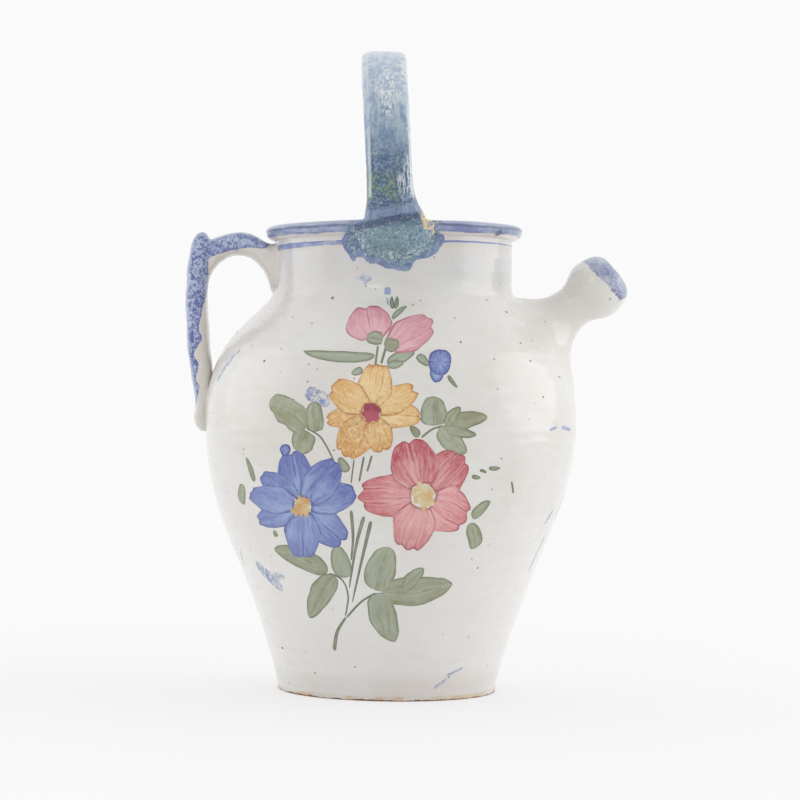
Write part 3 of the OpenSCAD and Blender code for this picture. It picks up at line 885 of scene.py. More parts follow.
GRIP_OUT, GRIP_W, TAIL_Z, EAR_Z = 12 * MM, 23 * MM, 138.7 * MM, 247.2 * MM
ARCH_Z, ARCH_DROP, ARCH_W = 247.7 * MM, 35 * MM, 20 * MM
ARCH_SHARES = (
    (-0.05, 1.03, 0.14, 1.42), (0.020, 0.97, 0.165, 1.31), (0.060, 0.90, 0.167, 1.25),
    (0.105, 0.75, 0.155, 1.18), (0.170, 0.605, 0.13, 1.10), (0.260, 0.495, 0.075, 1.04),
    (0.380, 0.405, 0.022, 1.00), (0.530, 0.375, 0.00, 1.00), (0.680, 0.395, 0.018, 0.98),
    (0.830, 0.49, 0.07, 0.94), (0.935, 0.635, 0.115, 0.88), (1.000, 0.80, 0.135, 0.80))
GRIP_SHARES = (
    (0.000, 0.19, -0.06, 0.34), (0.015, 0.325, -0.10, 0.48), (0.045, 0.50, -0.12, 0.60),
    (0.080, 0.537, -0.12, 0.64), (0.115, 0.47, -0.12, 0.62), (0.155, 0.48, -0.16, 0.62),
    (0.205, 0.57, -0.24, 0.68), (0.255, 0.667, -0.30, 0.78), (0.331, 0.77, -0.26, 0.88),
    (0.405, 0.87, -0.17, 0.95), (0.508, 0.945, -0.09, 1.00), (0.608, 0.997, -0.03, 1.00),
    (0.684, 0.995, 0.00, 1.00), (0.757, 0.967, -0.04, 0.97), (0.832, 0.935, -0.07, 0.94),
    (0.893, 0.854, -0.11, 0.90), (0.944, 0.772, -0.13, 0.82), (0.984, 0.60, 0.03, 0.62),
    (1.000, 0.38, 0.16, 0.32))
# How deep the blue reaches from the grip's outer face at a height, both in millimetres
GRIP_PAINT = ((140, 0.0), (150, 0.4), (156, 1.9), (163, 4.5), (167, 3.4), (175, 6.0), (180, 4.2),
              (189, 9.2), (194, 8.2), (204, 10.2), (217, 12.4), (228, 12.2), (240, 11.5), (250, 12.0))


def grip_at(z):
    """The grip's outer and inner reach from the wheel's axis and its half width, at a height."""
    outer, inner, width = smooth_row(GRIP_SHARES, (z - TAIL_Z) / (EAR_Z - TAIL_Z))
    return BELLY_R + GRIP_OUT * outer, BELLY_R + GRIP_OUT * inner, GRIP_W * width / 2


def arch_at(share):
    """The arch's lower and upper edge and its half width, at a share of the way from neck to grip."""
    low, high, width = smooth_row(ARCH_SHARES, share)
    return ARCH_Z - ARCH_DROP * low, ARCH_Z - ARCH_DROP * high, ARCH_W * width / 2


def handle_marks(co):
    """How deep under the handle's outer or upper face a point lies, and how far inside the paint."""
    grip_depth = grip_at(max(TAIL_Z, min(EAR_Z, co.z)))[0] + co.x
    painted = smooth_row(GRIP_PAINT, co.z / MM)[0] * MM - grip_depth
    share = (-co.x - NECK_R) / (BELLY_R - NECK_R)
    arch_depth = arch_at(max(0.0, min(1.0, share)))[1] - co.z
    if share > 1 or arch_depth > 18 * MM:
        return grip_depth / MM, painted / MM
    reach = 10.6 * MM * min(1.0, max(0.0, (share - 0.06) / 0.5)) ** 0.45
    return min(arch_depth, grip_depth) / MM, max(reach - arch_depth, painted) / MM


def glaze_side_handle(glazes):
    """Speckled blue on the outer part, pale over the edges where the glaze breaks and partly as painted
    highlight, bare cream on the inside.
    """
    r = Finish("side handle glaze")
    base, roughness, height = r.tin_glaze(glazes, 0.14)
    _x, y, z = r.split(r.measured())
    speckle = r.noise(540, 4, 0.85)
    inside = r.swayed(r.attribute("paint"), 2.6, 200, 4, 0.7)
    depth = r.swayed(r.attribute("depth"), 4, 110, 4, 0.7)
    clump = r.mix(r.patches(0.44, 0.56, 115, 3, 0.6, 0.4), (100, 116, 182), (164, 182, 216))
    cloud = r.patches(0.46, 0.58, 90, 4, 0.6, 0.5)
    # corner is pale on the outer face's edges: partly glaze that breaks thin there, partly painted
    # highlight.
    corner = r.both(r.fall(depth, 0.9, 2.6), r.rise(r.apart(y), 3, 6))
    low = r.fall(z, 153, 156)
    ink = r.coats(r.mix(r.rise(speckle, 0.44, 0.55), (52, 66, 148), clump),
                  ((166, 186, 214), cloud, r.rise(speckle, 0.40, 0.48), 0.75),
                  (glazes.mist, r.rise(speckle, 0.56, 0.61), 0.85),
                  (glazes.cobalt, r.fall(inside, 0.4, 1.6), 0.6), ((178, 190, 202), corner, 0.8),
                  (glazes.teal, low, 0.6))
    cover = r.both(r.rise(inside, 0, 0.4), r.rest(r.both(low, r.fall(speckle, 0.44, 0.56))))
    base = r.coats(base, (glazes.cream, 0.35), (ink, cover, 0.93))
    return r.fire(base, roughness, height, 0.12, 0.6)


def wall_patch(skin, half_width, low, high):
    """A slab just under the glaze that the handle is kneaded on to, to draw its root out smoothly."""

    def place(u, v):
        z = low + (high - low) * v
        azimuth = math.pi + (2 * u - 1) * half_width / thrown_r(z)
        return leaned(on_wheel(skin.radius(z, azimuth) - 0.5 * MM, azimuth, z))

    patch = sheet("patch", 24, 24, place)
    apply_modifier(patch, "SOLIDIFY", thickness=3.6 * MM, offset=-1)
    return patch


def make_side_handle(skin, glazes):
    """The upright grip and the arch over the finger gap, kneaded on to the wall."""
    outwards, across, up = Vector((-1, 0, 0)), Vector((0, -1, 0)), Vector((0, 0, 1))
    grip_steps, arch_steps = 90, 46
    grip, arch = [], []
    for k in range(grip_steps + 1):
        z = TAIL_Z + (EAR_Z - TAIL_Z) * k / grip_steps
        far, near, half = grip_at(z)
        grip.append((Vector((-(far + near) / 2, 0, z)), outwards * (far - near) / 2, across * half, 0.05))
    for k in range(arch_steps + 1):
        share = -0.06 + 1.06 * k / arch_steps
        low, high, half = arch_at(share)
        x = NECK_R + (BELLY_R - NECK_R) * share
        arch.append((Vector((-x, 0, (low + high) / 2)), up * (high - low) / 2, across * half, 0.04))
    handle = joined("side_handle", [
        pulled("grip", 40, grip), pulled("arch", 40, arch), wall_patch(skin, 22 * MM, 200 * MM, 243 * MM),
        wall_patch(skin, 13 * MM, 128 * MM, 162 * MM)])
    kneaded(handle, 0.8 * MM, 9, (0.35 * MM, 9 * MM, 0), (0.10 * MM, 3 * MM, 5))
    depth, paint = zip(*(handle_marks(v.co) for v in handle.data.vertices))
    note(handle, {"depth": depth, "paint": paint})
    finish_piece(handle, glaze_side_handle(glazes), "blue_glaze", "handle_arch", "handle_grip")


# The basket handle

BAIL_Z, STRAP_T, STRAP_W = 347.5 * MM, 11 * MM, 24.3 * MM
CROWN_Z = BAIL_Z - STRAP_T / 2
STRAP_FOOT_W, STRAP_FOOT_T, STRAP_LEAN = 32 * MM, 17 * MM, 5.5 * MM
PAD_H, PAD_T = 22.7 * MM, 12.2 * MM
PAD_SPREAD = 23.5 * MM / NECK_R
STRAP_FOOT_R = MOUTH_R + WALL / 8 + STRAP_FOOT_T / 2
LEG_SHARES = ((-0.04, 0.66), (0.40, 1))
STRAP_SHARES = ((0.00, 1.00, 1.00, -0.08), (0.04, 0.90, 0.74, 0.00), (0.10, 0.62, 0.25, 0.20),
                (0.18, 0.38, 0.00, 0.36), (0.35, 0.22, -0.02, 0.50), (0.60, 0.12, -0.02, 0.70),
                (1.00, 0.00, 0.00, 1.00))
PAD_SHARES = ((0.00, 0.22, 0.00), (0.08, 0.42, 0.10), (0.22, 0.62, 0.32), (0.45, 0.84, 0.66),
              (0.70, 0.98, 0.90), (0.88, 1.00, 1.00), (1.00, 0.92, 0.98))
# The two ends of the fold over the front pad, and the place where the pad is chipped
FOLD_START, FOLD_END = Vector((-10, -74.6, 252.4)) * MM, Vector((11, -74.4, 256.6)) * MM
CHIP = Vector((19.5, -68, 249)) * MM
# Where hands and a hook have scuffed the strap: its place and its reach across and up, and how strongly
SCUFFS = ((-4.5, 319, 9, 22, 0.9), (7, 331, 9, 16, 0.85), (8.5, 300, 4, 30, 0.6), (6.5, 271, 8, 20, 0.6))


def glaze_basket_handle(glazes):
    """Runny blue-green glaze: pale and scuffed at the crown, the pale partly painted light, dark and specked
    with moss green low down; painted highlight along the ridges and painted shade in the crease.
    """
    r = Finish("basket handle glaze")
    x, y, z = r.split(r.measured())
    slow = (40, 3, 0.6, 0.5)
    sway = r.swayed(z, 26, *slow)
    fine = r.noise(640, 4, 0.85)
    runs = r.noise(260, 4, 0.7, where=r.stretched(1, 1, 0.2))
    runny = r.rise(runs, 0.38, 0.62)
    ridge, crumbs = r.attribute("ridge"), r.attribute("pad")
    on_pad = r.rise(crumbs, 0.0, 0.08)

    # The pale crown is partly runny glaze and partly painted light where the crown curves up towards the
    # light.
    pale = r.mix(runny, (154, 172, 200), (202, 214, 224))
    middle = r.mix(runny, (118, 144, 176), (172, 190, 198))
    dark = r.mix(r.rise(fine, 0.45, 0.60), (34, 60, 112), (118, 148, 168))
    low = r.either(r.both(r.fall(sway, 276, 304), r.fall(x, 4, 16)), r.fall(sway, 262, 276))
    specks = r.both(r.rise(fine, 0.46, 0.53), r.rise(sway, 252, 262), r.fall(sway, 266, 290),
                    r.fall(x, -5, 7), r.patches(0.40, 0.54, 85, 2))
    violet = r.both(r.rise(r.attribute("fold"), 0.05, 0.6), r.rise(runs, 0.30, 0.5))
    heartland = r.both(r.fall(r.apart(x, 1), 6, 16), r.patches(0.36, 0.58, 75, 3, 0.6))
    pad = r.coats(r.mix(r.rise(fine, 0.41, 0.58), (62, 94, 128), (146, 172, 182)),
                  ((112, 146, 150), heartland, 0.70), ((60, 86, 124), r.rise(z, 244, 250), 0.55))
    # Painted shade: a dark line along the crease under the fold of clay.
    crease = r.apart(r.swayed(r.attribute("crease"), 3, *slow))
    crease = r.both(r.fall(crease, 0.2, 3.2), r.fall(y, -62, -58), r.rise(fine, 0.30, 0.44))
    warm = r.mix(r.patches(0.45, 0.6, 60, 3), (112, 124, 98), (92, 112, 128))
    back = r.both(r.rise(y, -30, 0), r.fall(sway, 290, 330))
    # Pale lines along the strap's ridges: partly glaze that breaks thin over the edges, partly painted
    # highlight.
    lines = r.both(r.rise(ridge, 0.80, 0.85), r.fall(ridge, 0.92, 0.97), r.patches(0.24, 0.56, 110, 3))
    base = r.coats(r.mix(r.rise(sway, 300, 330), middle, pale), (dark, low, 0.9),
                   (glazes.moss, specks, 0.85), ((132, 148, 180), violet, 0.75), (pad, on_pad),
                   ((44, 62, 100), crease, 0.75), (warm, back, 0.5),
                   ((212, 224, 224), r.rise(crumbs, 0.35, 0.9), r.patches(0.52, 0.57, 520, 3, 0.8), 0.9),
                   ((206, 220, 222), on_pad, r.patches(0.60, 0.63, 700, 3, 0.85), 0.85),
                   ((206, 214, 220), lines, 0.75))

    scratched = r.patches(0.50, 0.57, 760, 3, 0.75, where=r.stretched(1, 1, 0.13))
    front = r.fall(y, -12, -8)
    for across, up, wide, high, share in SCUFFS:
        far = r.blend(r.apart(x, across), 1 / wide, r.apart(z, up), 1 / high)
        base = r.coats(base, ((234, 235, 232), scratched, r.fall(far, 0.5, 1.1), front, share))
    chip = r.both(r.patches(0.48, 0.52, 260, 4, 0.8), r.rise(r.attribute("chip"), 0.05, 0.35))
    base = r.coats(base, (r.mix(r.rise(fine, 0.40, 0.56), (204, 152, 100), (234, 224, 192)), chip, 0.9))
    relief = r.math("MULTIPLY_ADD", fine, 0.8, r.grain(0.12)["Height"])
    return r.fire(base, r.either(0.26, r.both(chip, 0.85)), relief, 0.22, 0.7, r.both(r.rest(chip), 0.5))


def pad_low_z(turn):
    """Height of a pad's lower edge at an angle from the pad's middle."""
    across = min(1.0, abs(turn) / PAD_SPREAD)
    return RIM_Z - PAD_H * (1 - across ** 3.6) * (0.96 + 0.12 * noise.noise(Vector((9 * turn, 0.4, 0))))


def anchor_pad(skin, name):
    """The tongue of clay pressed over the rim and down the neck under the strap's front foot."""

    def place(u, v):
        across = 2 * u - 1
        turn = -across * PAD_SPREAD
        low_z = pad_low_z(turn)
        z = low_z + (RIM_Z - low_z) * v
        reach = smooth_row(PAD_SHARES, max(0.0, 1 - (RIM_Z - z) / PAD_H))[1]
        middling = max(0.0, 1 - across * across)
        lumps = 1.5 * noise.noise(Vector((turn * NECK_R, z, 0)) / (8 * MM))
        lumps += 0.7 * noise.noise(Vector((turn * NECK_R, z, 1)) / (3.2 * MM))
        body = NECK_R + max(2.4 * MM, 0.92 * PAD_T * reach * middling ** 0.55)
        low = thrown_r(z) - skin.glaze_inset - 1.5 * MM
        r = low + max(0.0, body - low + lumps * MM) * min(1.0, 4 * v) ** 0.5 * middling ** 0.30
        return leaned(on_wheel(r, -math.pi / 2 - turn, z))

    pad = sheet(name, 70, 48, place)
    apply_modifier(pad, "SOLIDIFY", thickness=3 * MM, offset=-1)
    return pad


def strap_at(z):
    """The strap's thickness, width and lean at a height."""
    thick, wide, lean = smooth_row(STRAP_SHARES, max(0.0, min(1.0, (z - RIM_Z) / (CROWN_Z - RIM_Z))))
    return (STRAP_T + (STRAP_FOOT_T - STRAP_T) * thick, STRAP_W + (STRAP_FOOT_W - STRAP_W) * wide,
            STRAP_LEAN * lean)


def strap_sections():
    """Cross-sections of the strap from its front foot over the crown to its rear foot."""
    half = curve((STRAP_FOOT_R, RIM_Z - 2 * MM), (0, CROWN_Z), LEG_SHARES, 56)
    line = [(-y, z) for y, z in half] + half[::-1][1:]
    sections = []
    for k, (y, z) in enumerate(line):
        ahead, behind = line[min(k + 1, len(line) - 1)], line[max(k - 1, 0)]
        along = Vector((0, ahead[0] - behind[0], ahead[1] - behind[1])).normalized()
        thick, wide, lean = strap_at(z)
        sections.append((Vector((-lean, y, z)), Vector((0, -along.z, along.y)) * thick / 2,
                         Vector((-1, 0, 0)) * wide / 2, 0.13))
    return sections


def fold_of_clay(radius):
    """A roll of clay where the strap was folded on to its pad."""
    steps = 16
    across = (FOLD_END - FOLD_START).normalized()
    out = Vector((0, -1, 0))
    sections = []
    for k in range(steps + 1):
        t = k / steps
        girth = radius * max(0.25, math.sin(math.pi * (0.08 + 0.84 * t))) ** 0.5
        bow = out * 1.6 * MM * math.sin(math.pi * t)
        sections.append((FOLD_START.lerp(FOLD_END, t) + bow, out * girth * 0.8,
                         out.cross(across) * girth, 0.0))
    return pulled("fold", 16, sections)


def strap_marks(co):
    """What the handle's material reads at a point: ridge, fold, crease in millimetres, pad and chip."""
    _thick, wide, lean = strap_at(co.z)
    ridge = abs(co.x + lean) / (wide / 2) if co.z > 262 * MM else 0.0
    start, end = FOLD_START, FOLD_END
    fold_z = start.z + (end.z - start.z) * (co.x - start.x) / (end.x - start.x)
    in_front = co.y < -60 * MM
    fold = max(0.0, 1 - abs(co.z - fold_z - 0.6 * MM) / (3.8 * MM)) if in_front else 0.0
    crease = (co.z - fold_z) / MM + 4.4 if in_front else 1000.0
    low_z = pad_low_z(math.atan2(co.x, abs(co.y)))
    pad = 0.0
    if co.z < (fold_z - 3.6 * MM if in_front else 248 * MM):
        pad = 0.1 + 0.9 * max(0.0, 1 - abs(co.z - low_z - 2.6 * MM) / (4.5 * MM))
    spot = (co - CHIP) / MM
    chip = max(0.0, 1 - math.hypot((spot.x + 0.35 * spot.z) / 6, spot.z / 12)) if in_front else 0.0
    return ridge, fold, crease, pad, chip


def make_basket_handle(skin, glazes):
    """The strap over the mouth with its fold and its two pads."""
    strap = pulled("strap", 56, strap_sections())
    reshape(strap, leaned)
    pieces = [strap, fold_of_clay(2.5 * MM), anchor_pad(skin, "front"), anchor_pad(skin, "rear")]
    pieces[-1].data.transform(Matrix.Rotation(math.pi, 4, "Z"))
    handle = joined("basket_handle", pieces)
    kneaded(handle, 0.65 * MM, 3, (0.22 * MM, 16 * MM, 0), (0.10 * MM, 3 * MM, 3))
    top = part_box("bail_strap")[1].z - 0.1 * MM
    reshape(handle, lambda co: Vector((co.x, co.y, min(co.z, top))))
    marks = zip(*(strap_marks(v.co) for v in handle.data.vertices))
    note(handle, dict(zip(("ridge", "fold", "crease", "pad", "chip"), marks)))
    finish_piece(handle, glaze_basket_handle(glazes), "teal_glaze", "bail_strap", "bail_front_pad",
                 "bail_rear_pad")


# The painted bouquet. Every place below is a pixel of the photograph, read off it.

# Each painted piece of petals has four colours from its edge to its lightest part, how stippled it is, and
# groups of petals. A group has its centre, how far from there its petals start, and the petals themselves:
# heading, reach and spread in degrees and millimetres, lobes, how bare and how deep.
FLOWERS = {
    "petals_blue": (((56, 66, 140), (80, 90, 170), (126, 136, 194), (164, 184, 222)), 0, (((303, 506), 4.6, (
        (143, 28.5, 36, 1, 0.1, 0.6), (199, 25.5, 42, 1, 0.2, 0.45), (168, 29.5, 38, 1, 0.1, 0.4),
        (104, 31, 46, 2, 0.2, 0.8), (16, 30, 42, 1, 0.1, 0.6), (54, 30.5, 46, 1, 0.1, 0.85),
        (-41, 30.5, 44, 2, 0.3, 0.55), (-88, 29.5, 46, 2, 0.5, 0.45))),)),
    "petals_red": (((146, 38, 56), (180, 52, 70), (214, 110, 116), (242, 192, 190)), 0, (((423, 496), 6.6, (
        (46, 31.5, 52, 3, 0.9, 0.75), (-28, 27.5, 66, 3, 0.2, 0.2), (254, 30.5, 54, 3, 1.0, 0.12),
        (181, 35, 47, 3, 0.2, 0.42), (106, 32, 58, 2, 0.1, 0.95))),)),
    "petals_yellow": (((180, 108, 36), (214, 150, 62), (236, 190, 110), (246, 222, 172)), 0.65, (
        ((371, 413), 5.0, (
            (190, 25, 34, 2, 0.2, 0.6), (82, 27.5, 50, 3, 0.5, 0.15), (145, 26.5, 48, 3, 0.3, 0.45),
            (-3, 27.5, 38, 2, 0.5, 0.1), (29, 28, 40, 2, 0.5, 0.3), (290, 22.5, 50, 2, 0.3, 0.6),
            (238, 28, 52, 3, 0.3, 0.85))),)),
    "petals_pink": (((172, 84, 106), (198, 112, 132), (228, 162, 178), (240, 198, 206)), 0, (
        ((372, 340), 0.8, ((101, 19, 82, 2, 0.2, 0.5),)),
        ((390, 346), 0.8, ((32, 26.8, 50, 3, 0.6, 0.55),))))}
# Hearts as place, radius in millimetres, how many spikes, how spiky and which of the three colours
HEARTS = (((302, 506), 8.0, 11, 0.30, 0.15), ((424, 495), 9.6, 7, 0.26, 0.30),
          ((371, 412), 6.6, 6, 0.15, 0.95))
# Leaves as their base, their tip and their width
LEAVES = (
    (306, 428, 270, 399, 28), (316, 432, 314, 401, 18), (433, 426, 433, 396, 24),
    (445, 427, 488, 417, 16), (445, 427, 477, 435, 10), (446, 426, 461, 407, 11), (439, 428, 467, 453, 18),
    (375, 356, 303, 351, 10), (363, 370, 351, 374, 7), (387, 365, 415, 352, 11), (387, 365, 404, 362, 8),
    (417, 355, 429, 366, 8), (448, 375, 458, 388, 4), (393, 309, 392, 296, 4), (395, 309, 397, 296, 4),
    (392, 319, 407, 306, 5), (419, 437, 410, 426, 7),
    (348, 472, 339, 457, 9), (255, 482, 246, 457, 7), (243, 504, 244, 484, 12), (472, 476, 481, 478, 4),
    (480, 470, 487, 473, 3), (489, 468, 501, 468, 4), (472, 518, 491, 501, 11), (477, 548, 470, 523, 15),
    (278, 537, 275, 530, 5), (328, 571, 275, 549, 20), (346, 578, 337, 546, 19), (335, 576, 309, 618, 21),
    (377, 591, 389, 547, 27), (382, 592, 453, 584, 27), (404, 590, 424, 568, 14), (376, 593, 395, 642, 25))
# Leaves and calyxes that lie over the petals
UPPER_LEAVES = ((307, 431, 299, 453, 24), (383, 338, 366, 338, 13), (384, 344, 400, 344, 13))
# Stems as their width at the start and at the end, then the places that they pass
STEMS = (
    (3.9, 1.8, (351, 510), (353, 537), (351, 561)), (4.3, 1.4, (364, 516), (356, 546), (349, 589)),
    (4.3, 1.2, (371, 521), (362, 559), (352, 603)), (1.6, 1.4, (354, 459), (351, 484)),
    (2.1, 2.1, (364, 456), (359, 482)), (2.1, 2.1, (372, 455), (367, 472)),
    (1.8, 1.8, (329, 573), (342, 580), (348, 596), (345, 617)),
    (2.1, 2.1, (376, 593), (361, 602), (346, 618)),
    (2.1, 4.6, (346, 617), (337, 632), (334, 651)), (2.2, 2.2, (378, 345), (375, 368)),
    (2.4, 2.4, (386, 347), (381, 364)), (1.8, 1.8, (306, 428), (321, 438), (334, 461)),
    (2.2, 2.2, (445, 426), (433, 429), (421, 438)))
# Loose touches of blue: start, end, width and how broken they are
TOUCHES = (
    (256, 562, 283, 590, 12, 0.9), (262, 574, 285, 578, 9, 1.0), (433, 689, 451, 676, 3.4, 0.8),
    (446, 676, 465, 667, 3, 0.9), (216, 382, 240, 349, 7, 1.0), (305, 391, 330, 403, 15, 1.0),
    (319, 402, 325, 401, 4, 0.0), (550, 430, 558, 427, 3, 0.2), (562, 427, 571, 430, 4, 0.2),
    (566, 490, 555, 520, 3, 0.4), (545, 524, 554, 510, 4, 0.5), (545, 537, 529, 572, 2, 0.3),
    (241, 548, 245, 566, 2, 0.4), (384, 291, 391, 291, 8, 0.1), (356, 277, 372, 279, 6, 1.0),
    (362, 272, 366, 285, 5, 1.0), (387, 297, 388, 305, 2, 0.5))
# Round dabs of blue as place, radius in millimetres, how bare and how deep
DABS = (((440, 362), 7.8, 0.1, 0.8), ((437, 374), 4.8, 0.7, 0.2), ((285, 450), 3.6, 0.0, 1.0))
# Pinholes and kiln marks as places and widths
SPECKS = (
    (332, 298, 3), (264, 361, 2.4), (507, 312, 2), (543, 321, 2), (521, 343, 1.8), (531, 361, 1.8),
    (544, 397, 1.8), (461, 342, 2), (478, 568, 1.8), (282, 648, 2), (315, 673, 1.8), (355, 667, 1.6),
    (413, 305, 1.8), (236, 332, 1.6), (487, 300, 1.6), (455, 318, 1.5), (560, 377, 1.6), (498, 389, 1.5))
# A crack in the glaze as its start, its end and its width
CRACK = (512, 481, 514, 494, 2.6)


class Films:
    """Lays the brush strokes of one painted piece and joins them."""

    def __init__(self, skin, name, lift):
        self.skin, self.name, self.lift = skin, name, skin.paint_lift + lift * MM
        self.films = []

    def lay(self, place, across, along, tone=0.5, bare=0.0, lobes=1, closed=False):
        """place(u, v) gives a point of the glaze and how far inside the stroke's outline it lies."""
        film = grid(self.name, across, along)
        mesh, index = film.data, len(self.films)
        lift = self.lift + 0.02 * MM * (index % 3)
        for loop, entry in zip(mesh.loops, mesh.uv_layers[0].data):
            co = mesh.vertices[loop.vertex_index].co
            entry.uv = ((co.x + 0.5) * lobes + 10 * index, co.y + 0.5)
        edge = []
        for vertex in mesh.vertices:
            point, margin = place(vertex.co.x + 0.5, vertex.co.y + 0.5)
            vertex.co = self.skin.on_glaze(point, lift if margin > 0.01 * MM else -0.05 * MM)
            edge.append(margin / MM)
        note(film, {"edge": edge, "tone": [tone] * len(edge), "bare": [bare] * len(edge)})
        face = max(mesh.polygons, key=lambda p: p.area)
        if face.normal.dot(Vector((face.center.x, face.center.y, 0))) < 0:
            mesh.flip_normals()
        if closed:
            alone(film)
            edit_mesh(weld)
        self.films.append(film)

    def petal(self, centre, inner, heading, reach, spread, lobes, bare, tone):
        """A broad stroke outwards from the heart, its tip scalloped by each pull of the brush."""
        middle = in_plane(*centre)
        inner, reach, heading = inner * MM, reach * MM, math.radians(heading)
        widest = 0.80 * reach * math.tan(math.radians(spread) / 2)
        ahead = Vector((math.cos(heading), math.sin(heading)))
        aside = Vector((ahead.y, -ahead.x))
        seed = Vector((5 * heading, 90 * reach, centre[0]))

        def place(u, v):
            w = 2 * u - 1
            scallop = 0.06 * (1 - abs(math.sin(lobes * math.pi * u)) ** 0.7) if lobes > 1 else 0
            tip = 1 - 0.30 * abs(w) ** (3.0 if lobes > 1 else 2.2) - scallop
            tip += 0.05 * noise.noise(seed + Vector((3 * w, 0, 0)))
            near = inner * (1 - 0.25 * w * w)
            length = reach * tip - near
            swell = math.sin(math.pi / 2 * min(1, v / 0.62))
            half = widest * (0.50 + 0.50 * swell) * (1 - 0.12 * max(0, v - 0.62) / 0.38)
            half *= 1 + 0.08 * noise.noise(seed + Vector((0, 2.5 * v, w)))
            margin = min((1 - abs(w)) * half, (1 - v) * length, v * length + 0.25 * MM)
            return seen_through(middle + ahead * (near + length * v) + aside * w * half), max(0.0, margin)

        self.lay(place, 28, 28, tone, bare, lobes)

    def heart(self, centre, radius, spikes, spikiness, tone, bare=0.0):
        """A ragged round dab in the middle of a flower."""
        middle = in_plane(*centre)

        def place(u, v):
            turn = 2 * math.pi * u
            around = Vector((math.cos(turn), math.sin(turn), radius))
            spike = spikiness * (0.5 * math.sin(spikes * turn) + 1.2 * noise.noise(around * 1.7))
            far = radius * MM * (1 - spikiness + spike)
            return seen_through(middle + Vector((0.9 * around.x, around.y)) * far * v), far * (1 - v)

        self.lay(place, 48, 14, tone, bare, 4, closed=True)

    def stroke(self, places, width, tone=0.5, bare=0.0, bow=0.0, teeth=0.0):
        """A stroke along a line of places; width(v) is its half width in pixels at a share of its length."""
        places = [seen(*p) for p in places]
        table = [(k / (len(places) - 1), *p) for k, p in enumerate(places)]
        length = sum((b - a).length for a, b in zip(places, places[1:]))

        def centre(v):
            return Vector(smooth_row(table, v))

        def place(u, v):
            middle = centre(v)
            ahead = centre(min(1, v + 0.02)) - centre(max(0, v - 0.02))
            side = ahead.cross(Vector((middle.x, middle.y, 0))).normalized()
            w = 2 * u - 1
            tooth = teeth * noise.noise(Vector((100 * places[0].x, 6 * v, math.copysign(7, w))))
            half = width(v) * PIXEL * (1 + tooth)
            margin = min((1 - abs(w)) * half, min(v, 1 - v) * length + 0.1 * MM)
            return middle + side * (w * half + bow * length * math.sin(math.pi * v)), max(0.0, margin)

        self.lay(place, 10, max(8, round(length / (1.3 * MM))), tone, bare)

    def line(self, x0, y0, x1, y1, *brush):
        """A stroke straight from one place to another."""
        self.stroke(((x0, y0), (x1, y1)), *brush)

    def finish(self, material):
        finish_piece(joined(self.name, self.films), material, "white_glaze")


def leaf_width(width, point):
    """Half width of a leaf that is widest before its middle; point sharpens its tip."""
    base = 0.7 * point
    widest = base / (base + point)
    return lambda v: width / 2 * (max(0, v) / widest) ** base * ((1 - min(1, v)) / (1 - widest)) ** point


def stem_width(start, end):
    return lambda v: (start + (end - start) * v) / 2 * (1 - (2 * v - 1) ** 8) ** 0.5


def dab_width(width):
    return lambda v: width / 2 * (1 - abs(2 * v - 1) ** 3) ** 0.5


def brush_inputs(r):
    """The shared brushwork on a film's map, the tone and edge that its points carry, and the map."""
    drawn, edge = r.add("ShaderNodeUVMap", uv_map="UVMap"), r.attribute("edge")
    work = r.group(shared("Brushwork", brushwork),
                   {"Map": drawn, "Vector": r.where, "Edge": edge, "Streaks": r.attribute("bare")})
    return work, r.attribute("tone"), edge, drawn


def petal_enamel(name, colours, stipple):
    """Petal paint: fine pulls of the brush, light near the heart and deeper at the tip and the edge."""
    r = Finish(name)
    dark, deep, middle, light = colours
    work, tone, edge, drawn = brush_inputs(r)
    u, v, _w = r.split(drawn)
    wander = r.swayed(r.apart(r.math("FRACT", r.math("ADD", u, 0.5)), 0.5), 0.10, 200, 2)
    seam = r.both(r.fall(wander, 0.015, 0.05), r.rise(v, 0.30, 0.65))
    beside = r.both(r.rise(wander, 0.04, 0.08), r.fall(wander, 0.10, 0.20), r.rise(v, 0.20, 0.50))
    bordering = r.fall(edge, 0.7, 3.0)
    hairs = r.fall(r.noise(19, 4, 0.7, where=r.stretched(1, 0.14, 1, where=drawn)), 0.36, 0.50)
    base = r.coats(middle, (light, work["Wash"], 0.50), (deep, r.rise(tone, 0.2, 1), 0.85),
                   (light, r.fall(tone, 0, 0.5), 0.50), (deep, bordering, 0.45),
                   (light, work["Streak"], r.fall(v, 0.30, 0.85), 0.80),
                   (deep, r.rest(work["Streak"]), r.rise(v, 0.35, 0.90), 0.60), (light, beside, 0.35),
                   (light, work["Fine"], 0.42), (deep, hairs, 0.38))
    if stipple:
        rough = r.either(bordering, r.both(r.rise(tone, 0, 1), 0.7))
        base = r.coats(base, (dark, r.patches(0.47, 0.56, 620, 4, 0.85), rough, stipple),
                       (light, r.patches(0.54, 0.60, 390, 3, 0.7), 0.5))
    border = r.fall(r.math("MULTIPLY_ADD", r.noise(240, 3), 1.4, edge), 1.1, 2.3)
    base = r.coats(base, (dark, seam, 0.40), (dark, border, 0.70))
    relief = r.math("MULTIPLY_ADD", work["Fine"], 0.5, work["Pool"])
    return r.fire(base, 0.34, relief, 0.05, 0.5, 0.4, r.both(work["Cover"], 0.95))


